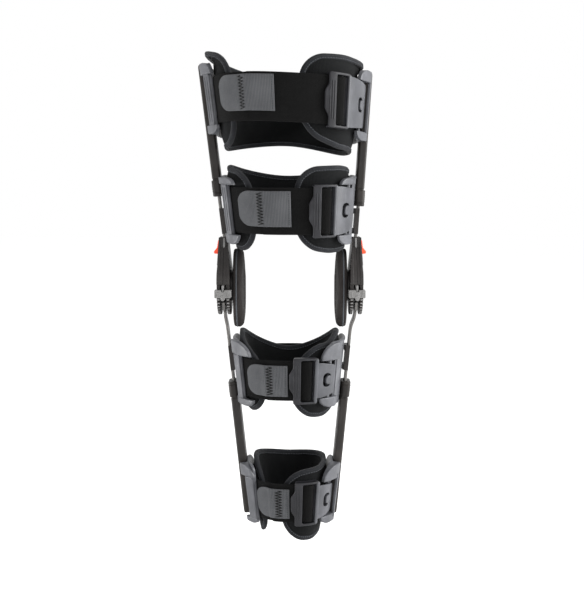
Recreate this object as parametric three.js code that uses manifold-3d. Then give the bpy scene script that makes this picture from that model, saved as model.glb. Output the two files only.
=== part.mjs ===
// Post-operative knee brace: two hinged uprights held to the leg by four padded cuffs.
// Millimetres, +Z up the leg, -Y towards the front of the knee, +X towards the buckles.
// The origin is on the knee axis, halfway between the two hinges.

import * as THREE from "three";
import { mergeVertices } from "three/addons/utils/BufferGeometryUtils.js";
import Module from "manifold-3d";

const wasm = await Module();
wasm.setup();

// Driving dimensions
const GAP = 0.4; // clearance between pieces that touch on the real brace
const HINGE_X = 82.8; // centre line to the middle of each hinge

const SIDES = [
  {
    name: "left", sign: -1, thighLean: 0.118, calfLean: 0.105, calfStep: -3,
    sleeveFoot: 112, sleeveTop: 274,
  },
  {
    name: "right", sign: 1, thighLean: 0.064, calfLean: 0.092, calfStep: -5.5,
    sleeveFoot: 100, sleeveTop: 264,
  },
];

const UPRIGHT = {
  thighBend: 68, // height where the thigh bar starts to lean
  thighStep: 1, // how far out it stands there
  calfBend: -52, // height where the calf bar starts to lean
  barWidth: 18,
  barThickness: 3.2,
  sleeveWidth: 24,
  sleeveThickness: 11,
  sleeveCorner: 3,
  sleeveCap: 6, // closed end of each sleeve
  thighBarTop: 190,
  calfSleeveTop: -122,
  calfSleeveFoot: -296,
  calfBarFoot: -205,
  collarLength: 20, // thicker end of each sleeve, round its button
  collarStep: 1.3,
};

const BUTTON = { width: 10, height: 14, thickness: 2.8, inner: 4.4, floor: 2.6 };

const HINGE = {
  radius: 37,
  toothDepth: 2.2,
  toothPitch: 8, // degrees
  toothFrom: 190, // degrees from +Y towards +Z
  toothTo: 350,
  plate: 4, // thickness of each side plate
  slot: 8, // room between the plates
  neckHalf: 13,
  neckTop: 62,
  neckThickness: 9.6,
  shoulder: 30, // degrees above the axis where the neck leaves the round
  slotRadius: 38,
  pin: 5,
  bossRadius: 20,
  bossHeight: 3,
};

const ARM = {
  radius: 34,
  notchRadius: 28.6,
  notchFrom: 92, // degrees from +Y towards +Z, open for the stop tooth
  notchTo: 215,
  thickness: 7,
};

const CLIP = { halfWidth: 10.2, front: -41.5, tips: -26, tooth: -30, top: -2.5, foot: -12.5 };

const LOCK = { middle: 48, halfHeight: 10, halfWidth: 6, railFoot: -22.5, railTop: 13 };

const CONDYLE = { halfHeight: 50, halfWidth: 30, middle: -3, thickness: 14, bevel: 4 };

const STRAP_THICKNESS = 2;
const SHELL_THICKNESS = 3;
const TAB_THICKNESS = 2;
const SECTION_POWER = 2.4; // 2 is an ellipse, higher is squarer

// Angles run from the front (0) past the right side (90), the back (180) and the left side (270).
// Heights of a cuff's pieces count from the middle line of its strap.
const CUFFS = [
  {
    name: "upper_thigh", z: 224, halfDepth: 78, centreY: 0, tilt: 0, roll: -0.045,
    padThickness: 11, strapWidth: 55, tabFrom: -54, tabTo: -8, strapEnd: -27, tabHalf: 20.5, tabRise: 4,
    buckleAt: 37, hookHalf: 25, shellTop: 44.5, shellFoot: -41, onSleeve: true, bracketZ: null,
    left: { rod: 287, lugFront: 14, lugRear: 13 }, right: { rod: 73, lugFront: 16, lugRear: 13 },
    padEdge: [
      { at: 10, top: 51, foot: -42, flare: 0 },
      { at: 52, top: 55, foot: -54, flare: 1 },
      { at: 84, top: 54, foot: -56, flare: 8 },
      { at: 112, top: 46, foot: -56, flare: 0 },
      { at: 180, top: 44, foot: -44, flare: 0 },
      { at: 265, top: 62, foot: -58, flare: 11 },
      { at: 314, top: 52, foot: -56, flare: 0 },
    ],
  },
  {
    name: "lower_thigh", z: 99.5, halfDepth: 68, centreY: 0, tilt: 0.07, roll: 0,
    padThickness: 11, strapWidth: 55, tabFrom: -44, tabTo: 1.5, strapEnd: -22, tabHalf: 21, tabRise: 3,
    buckleAt: 27.5, hookHalf: 25, shellTop: 39, shellFoot: -43, onSleeve: false, bracketZ: 81.5,
    left: { rod: 300, lugFront: 19, lugRear: 13 }, right: { rod: 54, lugFront: 15, lugRear: 10 },
    padEdge: [
      { at: 5, top: 52, foot: -45, flare: 0 },
      { at: 45, top: 53, foot: -52, flare: 0 },
      { at: 100, top: 46, foot: -51, flare: 0 },
      { at: 180, top: 36, foot: -27, flare: 0 },
      { at: 262, top: 52, foot: -51, flare: 0 },
      { at: 327, top: 48, foot: -50, flare: 0 },
    ],
  },
  {
    name: "upper_calf", z: -111, halfDepth: 55, centreY: 4, tilt: 0, roll: 0,
    padThickness: 10, strapWidth: 50, tabFrom: -46, tabTo: -1.5, strapEnd: -23, tabHalf: 19.5, tabRise: 0,
    buckleAt: 14.5, hookHalf: 18, shellTop: 46, shellFoot: -37, onSleeve: false, bracketZ: -92,
    left: { rod: 300, lugFront: 24, lugRear: 13 }, right: { rod: 42, lugFront: 12, lugRear: 13 },
    padEdge: [
      { at: 2, top: 30, foot: -46, flare: 0 },
      { at: 40, top: 44, foot: -50, flare: 0 },
      { at: 72, top: 57, foot: -45, flare: 0 },
      { at: 95, top: 55, foot: -40, flare: 0 },
      { at: 180, top: 23, foot: -36, flare: 0 },
      { at: 265, top: 55, foot: -42, flare: 0 },
      { at: 331, top: 32, foot: -45, flare: 0 },
    ],
  },
  {
    name: "lower_calf", z: -269, halfDepth: 40, centreY: 2, tilt: 0, roll: 0,
    padThickness: 10, strapWidth: 50, tabFrom: -49, tabTo: -1, strapEnd: -24, tabHalf: 19.5, tabRise: 0,
    buckleAt: 19.5, hookHalf: 18, shellTop: 44, shellFoot: -35, onSleeve: true, bracketZ: null,
    left: { rod: 303, lugFront: 6, lugRear: 13 }, right: { rod: 59, lugFront: 12, lugRear: 13 },
    padEdge: [
      { at: -14, top: 38, foot: -50, flare: 0 },
      { at: 35, top: 42, foot: -54, flare: 0 },
      { at: 95, top: 46, foot: -44, flare: 0 },
      { at: 180, top: 40, foot: -40, flare: 0 },
      { at: 265, top: 50, foot: -44, flare: 0 },
      { at: 316, top: 44, foot: -54, flare: 0 },
    ],
  },
];

const PAD_CORNER = 30; // radius of a pad's front corners
const PAD_EDGE_SHARE = 0.5; // thickness left at a pad's bound edge
const PAD_EDGE_WIDTH = 0.07; // share of the height taken by each bound edge
const FLARE_SHARE = [0, 0, 0, 1]; // how much of a pad's flare each level takes, foot to top

const SHELL = {
  back: 120, // degrees from the front to the rear edge
  rightRodWidth: 5,
  leftRodWidth: 11,
  slotWidth: 6.5,
  lugRise: { front: 1.5, onSleeve: 10.5, onBar: 4.5 }, // lugs climb this far above the plate
  rodRise: { front: 2, onSleeve: 8, onBar: 5, slim: 1.2 },
  frontBarWidth: 5,
  corner: 9,
  lugCorner: 12,
};

// Along the strap from the middle of each buckle, and out from the middle of the strap
const BUCKLE = {
  grip: { from: -13, to: -4.5 },
  bulge: 4.5, // how far the middle of the grip stands forward
  bar: 5,
  barRadius: 2,
  edge: { from: 11, to: 14.5 },
  rail: 4,
  under: -0.5,
  gripUnder: 5,
  top: 9,
  hookUnder: 6.3,
  hookFlare: 4,
  lip: 2.4,
};

const FINISHES = {
  pad_foam: { color: 0x1d1e21, roughness: 0.95, metalness: 0 },
  strap_webbing: { color: 0x121214, roughness: 0.92, metalness: 0 },
  hook_tab: { color: 0x4a4b4d, roughness: 0.85, metalness: 0 },
  shell_plastic: { color: 0x6a6b6f, roughness: 0.5, metalness: 0 },
  buckle_plastic: { color: 0x3f4043, roughness: 0.5, metalness: 0 },
  sleeve_plastic: { color: 0x2b2a2a, roughness: 0.5, metalness: 0 },
  bar_alloy: { color: 0x8f8d8b, roughness: 0.4, metalness: 1 },
  hinge_black: { color: 0x232325, roughness: 0.45, metalness: 0 },
  clip_grey: { color: 0x8a8888, roughness: 0.45, metalness: 0 },
  lock_orange: { color: 0xee4a22, roughness: 0.45, metalness: 0 },
  pin_steel: { color: 0x6f7073, roughness: 0.35, metalness: 1 },
};

const materials = {};
for (const [name, finish] of Object.entries(FINISHES)) {
  materials[name] = new THREE.MeshStandardMaterial(finish);
}

// Solids: joining and cutting
function solidOf(geometry) {
  const bare = geometry.clone();
  bare.deleteAttribute("normal");
  bare.deleteAttribute("uv");
  const merged = mergeVertices(bare, 1e-4);
  return new wasm.Manifold(new wasm.Mesh({
    numProp: 3,
    vertProperties: new Float32Array(merged.getAttribute("position").array),
    triVerts: new Uint32Array(merged.getIndex().array),
  }));
}

function geometryOf(solid) {
  const mesh = solid.getMesh();
  const geometry = new THREE.BufferGeometry();
  geometry.setAttribute("position", new THREE.BufferAttribute(new Float32Array(mesh.vertProperties), 3));
  geometry.setIndex(new THREE.BufferAttribute(new Uint32Array(mesh.triVerts), 1));
  return geometry;
}

function join(geometries) {
  return geometries.map(solidOf).reduce((whole, piece) => whole.add(piece));
}

function addPiece(group, name, geometry, finish) {
  const mesh = new THREE.Mesh(geometry, materials[finish]);
  mesh.name = name;
  group.add(mesh);
  return mesh;
}

// Plain shapes
function boxBetween(low, high) {
  const box = new THREE.BoxGeometry(high[0] - low[0], high[1] - low[1], high[2] - low[2]);
  return box.translate((low[0] + high[0]) / 2, (low[1] + high[1]) / 2, (low[2] + high[2]) / 2);
}

function discAcross(radius, from, to, segments) {
  const disc = new THREE.CylinderGeometry(radius, radius, to - from, segments);
  return disc.rotateZ(Math.PI / 2).translate((from + to) / 2, 0, 0);
}

// Extrudes an outline drawn in Y and Z from one X to another.
function extrudeAcross(shape, from, to, options = {}) {
  const turn = new THREE.Matrix4().makeBasis(
    new THREE.Vector3(0, 1, 0), new THREE.Vector3(0, 0, 1), new THREE.Vector3(1, 0, 0));
  const geometry = new THREE.ExtrudeGeometry(shape, { depth: to - from, bevelEnabled: false, ...options });
  return geometry.applyMatrix4(turn).translate(from, 0, 0);
}

// Extrudes an outline drawn in X and Z through a width centred on Y = 0.
function extrudeThrough(points, width) {
  const shape = new THREE.Shape(points.map(([x, z]) => new THREE.Vector2(x, z)));
  const geometry = new THREE.ExtrudeGeometry(shape, { depth: width, bevelEnabled: false });
  return geometry.rotateX(Math.PI / 2).translate(0, width / 2, 0);
}

function roundedRectangle(width, height, corner) {
  const x = width / 2;
  const y = height / 2;
  const shape = new THREE.Shape();
  shape.absarc(x - corner, y - corner, corner, 0, Math.PI / 2);
  shape.absarc(-x + corner, y - corner, corner, Math.PI / 2, Math.PI);
  shape.absarc(-x + corner, -y + corner, corner, Math.PI, 1.5 * Math.PI);
  shape.absarc(x - corner, -y + corner, corner, 1.5 * Math.PI, 2 * Math.PI);
  return shape;
}

// Uprights
function uprightX(side, z) {
  if (z >= UPRIGHT.thighBend) {
    return HINGE_X + UPRIGHT.thighStep + (z - UPRIGHT.thighBend) * side.thighLean;
  }
  return HINGE_X + side.calfStep + (z - UPRIGHT.calfBend) * side.calfLean;
}

// Stands a piece on the upright at one height, leaning with it.
function standOnUpright(mesh, side, z) {
  const lean = z > 0 ? side.thighLean : side.calfLean;
  mesh.position.set(uprightX(side, z), 0, z);
  mesh.rotation.y = Math.atan(lean);
}

// A sleeve of one length, closed at one end, with its open end (openEnd -1 below, 1 above).
function sleeveGeometry(length, openEnd) {
  const half = length / 2;
  const outline = roundedRectangle(UPRIGHT.sleeveThickness, UPRIGHT.sleeveWidth, UPRIGHT.sleeveCorner);
  const flat = { depth: length, bevelEnabled: false, curveSegments: 2 };
  const body = new THREE.ExtrudeGeometry(outline, flat).translate(0, 0, -half);
  const collarOutline = roundedRectangle(
    UPRIGHT.sleeveThickness + UPRIGHT.collarStep,
    UPRIGHT.sleeveWidth + 2 * UPRIGHT.collarStep,
    UPRIGHT.sleeveCorner + UPRIGHT.collarStep,
  );
  const collarMiddle = openEnd * (half - UPRIGHT.collarLength / 2);
  const collar = new THREE.ExtrudeGeometry(collarOutline, { ...flat, depth: UPRIGHT.collarLength })
    .translate(UPRIGHT.collarStep / 2, 0, collarMiddle - UPRIGHT.collarLength / 2);
  const hollowX = UPRIGHT.barThickness / 2 + GAP;
  const hollowY = UPRIGHT.barWidth / 2 + GAP;
  const ends = [openEnd * (half + 1), -openEnd * (half - UPRIGHT.sleeveCap)].sort((a, b) => a - b);
  const hollow = boxBetween([-hollowX, -hollowY, ends[0]], [hollowX, hollowY, ends[1]]);
  const pocketY = BUTTON.width / 2 + GAP;
  const pocketZ = BUTTON.height / 2 + GAP;
  const pocket = boxBetween(
    [BUTTON.floor, -pocketY, collarMiddle - pocketZ],
    [UPRIGHT.sleeveThickness, pocketY, collarMiddle + pocketZ],
  );
  return geometryOf(join([body, collar]).subtract(solidOf(hollow)).subtract(solidOf(pocket)));
}

function buttonGeometry() {
  return boxBetween(
    [BUTTON.inner, -BUTTON.width / 2, -BUTTON.height / 2],
    [BUTTON.inner + BUTTON.thickness, BUTTON.width / 2, BUTTON.height / 2],
  );
}

// A flat bar bent along a line of X and Z points, thickness across X.
function barGeometry(line) {
  const half = UPRIGHT.barThickness / 2;
  const outer = line.map(([x, z]) => [x + half, z]);
  const inner = line.map(([x, z]) => [x - half, z]).reverse();
  return extrudeThrough([...outer, ...inner], UPRIGHT.barWidth);
}

// Cups the bare bar and stands off the shell on two feet.
function bracketGeometry() {
  const half = UPRIGHT.barThickness / 2;
  const flange = UPRIGHT.barWidth / 2 + GAP;
  const outerY = flange + 2;
  const height = 16;
  const foot = 7;
  const web = -half - GAP;
  const shellFace = -UPRIGHT.sleeveThickness / 2 - 0.1;
  return geometryOf(join([
    boxBetween([web - 1.8, -outerY, -height], [web, outerY, height]),
    boxBetween([web - 1, -outerY, -height], [half, -flange, height]),
    boxBetween([web - 1, flange, -height], [half, outerY, height]),
    boxBetween([shellFace, -9, height - foot], [web - 1, 9, height]),
    boxBetween([shellFace, -9, -height], [web - 1, 9, foot - height]),
  ]));
}

// Hinge, drawn about the knee axis with +X outwards
function polar(radius, degrees) {
  const angle = THREE.MathUtils.degToRad(degrees);
  return new THREE.Vector2(radius * Math.cos(angle), radius * Math.sin(angle));
}

function arcPoints(radius, from, to, step) {
  const count = Math.round((to - from) / step);
  return Array.from({ length: count + 1 }, (_, i) => polar(radius, from + ((to - from) * i) / count));
}

function plateOutline() {
  const points = [new THREE.Vector2(-HINGE.neckHalf, HINGE.neckTop)];
  points.push(...arcPoints(HINGE.radius, 180 - HINGE.shoulder, HINGE.toothFrom, 10));
  const teeth = Math.floor((HINGE.toothTo - HINGE.toothFrom) / HINGE.toothPitch);
  for (let tooth = 0; tooth < teeth; tooth += 1) {
    const start = HINGE.toothFrom + tooth * HINGE.toothPitch;
    points.push(polar(HINGE.radius - HINGE.toothDepth, start + HINGE.toothPitch * 0.35));
    points.push(polar(HINGE.radius, start + HINGE.toothPitch * 0.7));
  }
  points.push(...arcPoints(HINGE.radius, HINGE.toothTo, 360 + HINGE.shoulder, 10));
  points.push(new THREE.Vector2(HINGE.neckHalf, HINGE.neckTop));
  return new THREE.Shape(points);
}

const HOUSING_HALF = HINGE.plate + HINGE.slot / 2;
const SHOULDER_Z = HINGE.radius * Math.sin(THREE.MathUtils.degToRad(HINGE.shoulder));
const NECK_SLOPE = (HOUSING_HALF - HINGE.neckThickness / 2) / (HINGE.neckTop - SHOULDER_Z);

// Half thickness of the housing, which thins towards the top of its neck.
function housingHalf(z) {
  return HOUSING_HALF - Math.max(0, z - SHOULDER_Z) * NECK_SLOPE;
}

// Sets a piece drawn on a flat face onto the sloping outer face of the neck.
function onNeckFace(object) {
  object.position.set(housingHalf(LOCK.middle), 0, LOCK.middle);
  object.rotation.y = -Math.atan(NECK_SLOPE);
  object.updateMatrix();
  return object;
}

function housingGeometry() {
  const body = extrudeAcross(plateOutline(), -HOUSING_HALF, HOUSING_HALF);
  const corners = body.getAttribute("position");
  for (let i = 0; i < corners.count; i += 1) {
    corners.setX(i, (corners.getX(i) * housingHalf(corners.getZ(i))) / HOUSING_HALF);
  }
  const boss = discAcross(HINGE.bossRadius, -HOUSING_HALF - HINGE.bossHeight, -HOUSING_HALF + 1, 18);
  const face = onNeckFace(new THREE.Object3D());
  const rails = [-1, 1].map((end) => {
    const edge = end * (LOCK.halfWidth + GAP + 1);
    return boxBetween([-1, edge - 1, LOCK.railFoot], [2, edge + 1, LOCK.railTop]).applyMatrix4(face.matrix);
  });
  const slotHalf = HINGE.slot / 2;
  const socketX = UPRIGHT.barThickness / 2 + GAP;
  const socketY = UPRIGHT.barWidth / 2 + GAP;
  return geometryOf(join([body, boss, ...rails])
    .subtract(solidOf(discAcross(HINGE.slotRadius, -slotHalf, slotHalf, 24)))
    .subtract(solidOf(boxBetween([-slotHalf, -50, -50], [slotHalf, 50, 0])))
    .subtract(solidOf(discAcross(HINGE.pin + GAP, -HOUSING_HALF, HOUSING_HALF + 1, 14)))
    .subtract(solidOf(boxBetween([-socketX, -socketY, 44], [socketX, socketY, HINGE.neckTop + 5]))));
}

function pinGeometry() {
  return geometryOf(join([
    discAcross(HINGE.pin, -HOUSING_HALF + GAP, HOUSING_HALF + 1, 14),
    discAcross(2 * HINGE.pin, HOUSING_HALF + GAP, HOUSING_HALF + GAP + 1.6, 18),
  ]));
}

function armGeometry(side) {
  const rim = arcPoints(ARM.radius, ARM.notchTo, ARM.notchFrom + 360, 9);
  const notch = arcPoints(ARM.notchRadius, ARM.notchFrom, ARM.notchTo, 9);
  const disc = extrudeAcross(new THREE.Shape([...rim, ...notch]), -ARM.thickness / 2, ARM.thickness / 2);
  const foot = uprightX(side, UPRIGHT.calfBarFoot) - HINGE_X;
  const bar = barGeometry([
    [0, -ARM.notchRadius + 12],
    [0, -HINGE.slotRadius - 1],
    [side.calfStep, UPRIGHT.calfBend],
    [foot, UPRIGHT.calfBarFoot],
  ].reverse());
  const hole = discAcross(HINGE.pin + GAP, -ARM.thickness, ARM.thickness, 14);
  return geometryOf(join([disc, bar]).subtract(solidOf(hole)));
}

function thighBarGeometry(side) {
  return barGeometry([
    [uprightX(side, UPRIGHT.thighBarTop) - HINGE_X, UPRIGHT.thighBarTop],
    [UPRIGHT.thighStep, UPRIGHT.thighBend],
    [0, HINGE.neckTop],
    [0, 45],
  ].reverse());
}

// An E seen from above: the side plates run in its two pockets, the arm meets its middle tooth.
function clipGeometry() {
  const innerPocket = HINGE.slot / 2 - GAP;
  const outerPocket = HOUSING_HALF + GAP;
  const floor = -HINGE.radius - GAP;
  const half = [
    [innerPocket, CLIP.tooth],
    [innerPocket, floor],
    [outerPocket, floor],
    [outerPocket, CLIP.tips],
    [CLIP.halfWidth, CLIP.tips],
    [CLIP.halfWidth, CLIP.front],
  ];
  const mirrored = half.map(([x, y]) => [-x, y]).reverse();
  const shape = new THREE.Shape([...half, ...mirrored].map(([x, y]) => new THREE.Vector2(x, y)));
  const clip = new THREE.ExtrudeGeometry(shape, { depth: CLIP.top - CLIP.foot, bevelEnabled: false });
  return clip.translate(0, 0, CLIP.foot);
}

// A sloping thumb slide, drawn on the flat of the neck face with +X outwards.
function lockGeometry() {
  const half = LOCK.halfHeight;
  const profile = [[GAP, -half], [7, -half], [7, 3 - half], [3.4, -1], [2.6, half], [GAP, half]];
  return extrudeThrough(profile, 2 * LOCK.halfWidth);
}

function condyleGeometry() {
  const outline = new THREE.Shape();
  const width = CONDYLE.halfWidth - CONDYLE.bevel;
  const height = CONDYLE.halfHeight - CONDYLE.bevel;
  outline.absellipse(0, CONDYLE.middle, width, height, 0, 2 * Math.PI);
  const outer = -HOUSING_HALF - HINGE.bossHeight - GAP;
  const inner = outer - CONDYLE.thickness;
  return extrudeAcross(outline, inner + CONDYLE.bevel, outer - CONDYLE.bevel, {
    curveSegments: 11,
    bevelEnabled: true,
    bevelThickness: CONDYLE.bevel,
    bevelSize: CONDYLE.bevel,
    bevelSegments: 2,
  });
}

// Cuffs: every piece is drawn by its angle, its distance out from the leg and its height
function completeCuff(row) {
  const [left, right] = SIDES;
  const leftX = -uprightX(left, row.z);
  const rightX = uprightX(right, row.z);
  const leans = row.z > 0 ? [left.thighLean, right.thighLean] : [left.calfLean, right.calfLean];
  const shellHalf = (rightX - leftX) / 2 - UPRIGHT.sleeveThickness / 2 - GAP - 0.1;
  const strapMiddle = row.padThickness + GAP + STRAP_THICKNESS / 2;
  const shellInner = strapMiddle + STRAP_THICKNESS / 2 + GAP;
  const innerHalf = shellHalf - shellInner - SHELL_THICKNESS;
  const radius = (innerHalf + row.halfDepth) / 2 + strapMiddle;
  return {
    ...row,
    centreX: (leftX + rightX) / 2,
    centreSlope: (leans[1] - leans[0]) / 2,
    widthSlope: (leans[0] + leans[1]) / 2,
    shellHalf,
    innerHalf,
    strapMiddle,
    shellInner,
    shellOuter: shellInner + SHELL_THICKNESS,
    degreesPerMm: THREE.MathUtils.radToDeg(1 / radius),
    buckleDegreesPerMm: THREE.MathUtils.radToDeg(1 / (radius + BUCKLE.top / 2)),
  };
}

function cuffPoint(cuff, degrees, out, height) {
  const angle = THREE.MathUtils.degToRad(degrees);
  const across = Math.sin(angle);
  const along = -Math.cos(angle);
  const taper = 1 + (cuff.widthSlope * height) / cuff.shellHalf;
  const share = Math.abs(across / (cuff.innerHalf + out)) ** SECTION_POWER
    + Math.abs(along / (cuff.halfDepth + out)) ** SECTION_POWER;
  const reach = taper * share ** (-1 / SECTION_POWER);
  const y = reach * along;
  return new THREE.Vector3(
    cuff.centreX + cuff.centreSlope * height + reach * across,
    cuff.centreY + y,
    cuff.z + height + cuff.tilt * y + cuff.roll * reach * across,
  );
}

// A unit box cut into columns and rows, every corner moved to the point that place() gives.
function shapedBox(columns, rows, place) {
  const box = new THREE.BoxGeometry(1, 1, 1, columns, 1, rows);
  const corners = box.getAttribute("position");
  for (let i = 0; i < corners.count; i += 1) {
    const column = Math.round((corners.getX(i) + 0.5) * columns);
    const row = Math.round((corners.getZ(i) + 0.5) * rows);
    const point = place(column, corners.getY(i) < 0, row);
    corners.setXYZ(i, point.x, point.y, point.z);
  }
  return box;
}

const valueAt = (face, degrees) => (typeof face === "function" ? face(degrees) : face);

// A curved slab between two distances out from the leg and two heights.
function slab(cuff, stations, faces) {
  return shapedBox(stations.length - 1, 1, (column, outside, row) => {
    const degrees = stations[column];
    const out = valueAt(outside ? faces.outer : faces.inner, degrees);
    const height = valueAt(row ? faces.top : faces.foot, degrees);
    return cuffPoint(cuff, degrees, out, height);
  });
}

function evenly(from, to, step) {
  const count = Math.max(1, Math.round(Math.abs(to - from) / step));
  return Array.from({ length: count + 1 }, (_, i) => from + ((to - from) * i) / count);
}

// Stations that crowd into a rounded corner at either end.
function withCorners(from, to, step, startCorner, endCorner) {
  const turn = [0, 0.07, 0.28, 0.62];
  const start = startCorner ? turn.map((share) => from + share * startCorner) : [];
  const end = endCorner ? turn.map((share) => to - share * endCorner).reverse() : [];
  return [...start, ...evenly(from + startCorner, to - endCorner, step), ...end];
}

// How far an edge is drawn in at a distance from an end with a rounded corner.
function cornerInset(distance, radius) {
  if (distance >= radius) return 0;
  const short = radius - Math.max(0, distance);
  return radius - Math.sqrt(radius * radius - short * short);
}

function between(rows, degrees, column) {
  const last = rows.length - 2;
  const next = rows.findIndex((row) => row.at >= degrees);
  const low = Math.min(last, Math.max(0, (next < 0 ? last + 1 : next) - 1));
  const share = THREE.MathUtils.smoothstep(degrees, rows[low].at, rows[low + 1].at);
  return THREE.MathUtils.lerp(rows[low][column], rows[low + 1][column], share);
}

function padGeometry(cuff) {
  const rows = cuff.padEdge;
  const from = rows[0].at;
  const to = rows[rows.length - 1].at;
  const corner = PAD_CORNER * cuff.degreesPerMm;
  const stations = withCorners(from, to, 15, corner, corner);
  const levels = [0, PAD_EDGE_WIDTH, 1 - PAD_EDGE_WIDTH, 1];
  const lastColumn = stations.length - 1;
  const lastRow = levels.length - 1;
  return shapedBox(lastColumn, lastRow, (column, outside, row) => {
    const degrees = stations[column];
    const end = Math.min(degrees - from, to - degrees) / cuff.degreesPerMm;
    const inset = cornerInset(end, PAD_CORNER);
    const top = between(rows, degrees, "top") - inset;
    const foot = between(rows, degrees, "foot") + inset;
    const atEdge = column === 0 || column === lastColumn || row === 0 || row === lastRow;
    const half = (cuff.padThickness / 2) * (atEdge ? PAD_EDGE_SHARE : 1);
    const flare = between(rows, degrees, "flare") * FLARE_SHARE[row];
    const out = cuff.padThickness / 2 + (outside ? half : -half) + flare;
    return cuffPoint(cuff, degrees, out, THREE.MathUtils.lerp(foot, top, levels[row]));
  });
}

// The strap's line seen from above: mm along the leg's round, and mm out from its middle line.
function strapLine(cuff) {
  const mm = 1 / cuff.degreesPerMm;
  const bar = (360 + cuff.buckleAt + BUCKLE.bar * cuff.buckleDegreesPerMm) * mm;
  const turn = BUCKLE.barRadius + GAP + STRAP_THICKNESS / 2;
  const laid = STRAP_THICKNESS + GAP;
  const line = evenly(100 * mm, bar - 6, 11.4).map((along) => [along, 0]);
  for (const degrees of evenly(-90, 90, 30)) {
    const angle = THREE.MathUtils.degToRad(degrees);
    line.push([bar + turn * Math.cos(angle), turn + turn * Math.sin(angle)]);
  }
  const fall = [[-4.5, 2 * turn - 1.1], [-9, laid + 0.7], [-21, laid + 0.4], [-30, laid]];
  line.push(...fall.map(([along, out]) => [bar + along, out]));
  line.push(...evenly(bar - 38, (360 + cuff.strapEnd) * mm, 10.4).map((along) => [along, laid]));
  return line;
}

function strapGeometry(cuff) {
  const line = strapLine(cuff);
  const last = line.length - 1;
  return shapedBox(last, 1, (column, outside, row) => {
    const before = line[Math.max(0, column - 1)];
    const after = line[Math.min(last, column + 1)];
    const heading = new THREE.Vector2(after[0] - before[0], after[1] - before[1]).normalize();
    const side = (outside ? 0.5 : -0.5) * STRAP_THICKNESS;
    const along = line[column][0] - heading.y * side;
    const out = cuff.strapMiddle + line[column][1] + heading.x * side;
    const height = (row ? 0.5 : -0.5) * cuff.strapWidth;
    return cuffPoint(cuff, along * cuff.degreesPerMm, out, height);
  });
}

// The hook tab lies on the strap's end and drops to the layer below past that end.
function tabGeometry(cuff) {
  const half = cuff.tabHalf;
  const round = half * 0.75;
  const stepFoot = cuff.strapEnd - 6;
  const stepTop = cuff.strapEnd - 1;
  const stations = [
    ...withCorners(cuff.tabFrom, stepFoot, 4, round * cuff.degreesPerMm, 0),
    ...evenly(stepTop, cuff.tabTo, 4),
  ];
  const high = cuff.strapMiddle + 1.5 * STRAP_THICKNESS + 2 * GAP;
  const low = cuff.strapMiddle + STRAP_THICKNESS / 2 + GAP;
  const under = (degrees) => {
    const step = THREE.MathUtils.smoothstep(degrees, stepFoot, stepTop);
    return THREE.MathUtils.lerp(low, high, step);
  };
  const reach = (degrees) => half - cornerInset((degrees - cuff.tabFrom) / cuff.degreesPerMm, round) * 0.9;
  return slab(cuff, stations, {
    inner: under,
    outer: (degrees) => under(degrees) + TAB_THICKNESS,
    foot: (degrees) => cuff.tabRise - reach(degrees),
    top: (degrees) => cuff.tabRise + reach(degrees),
  });
}

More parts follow.
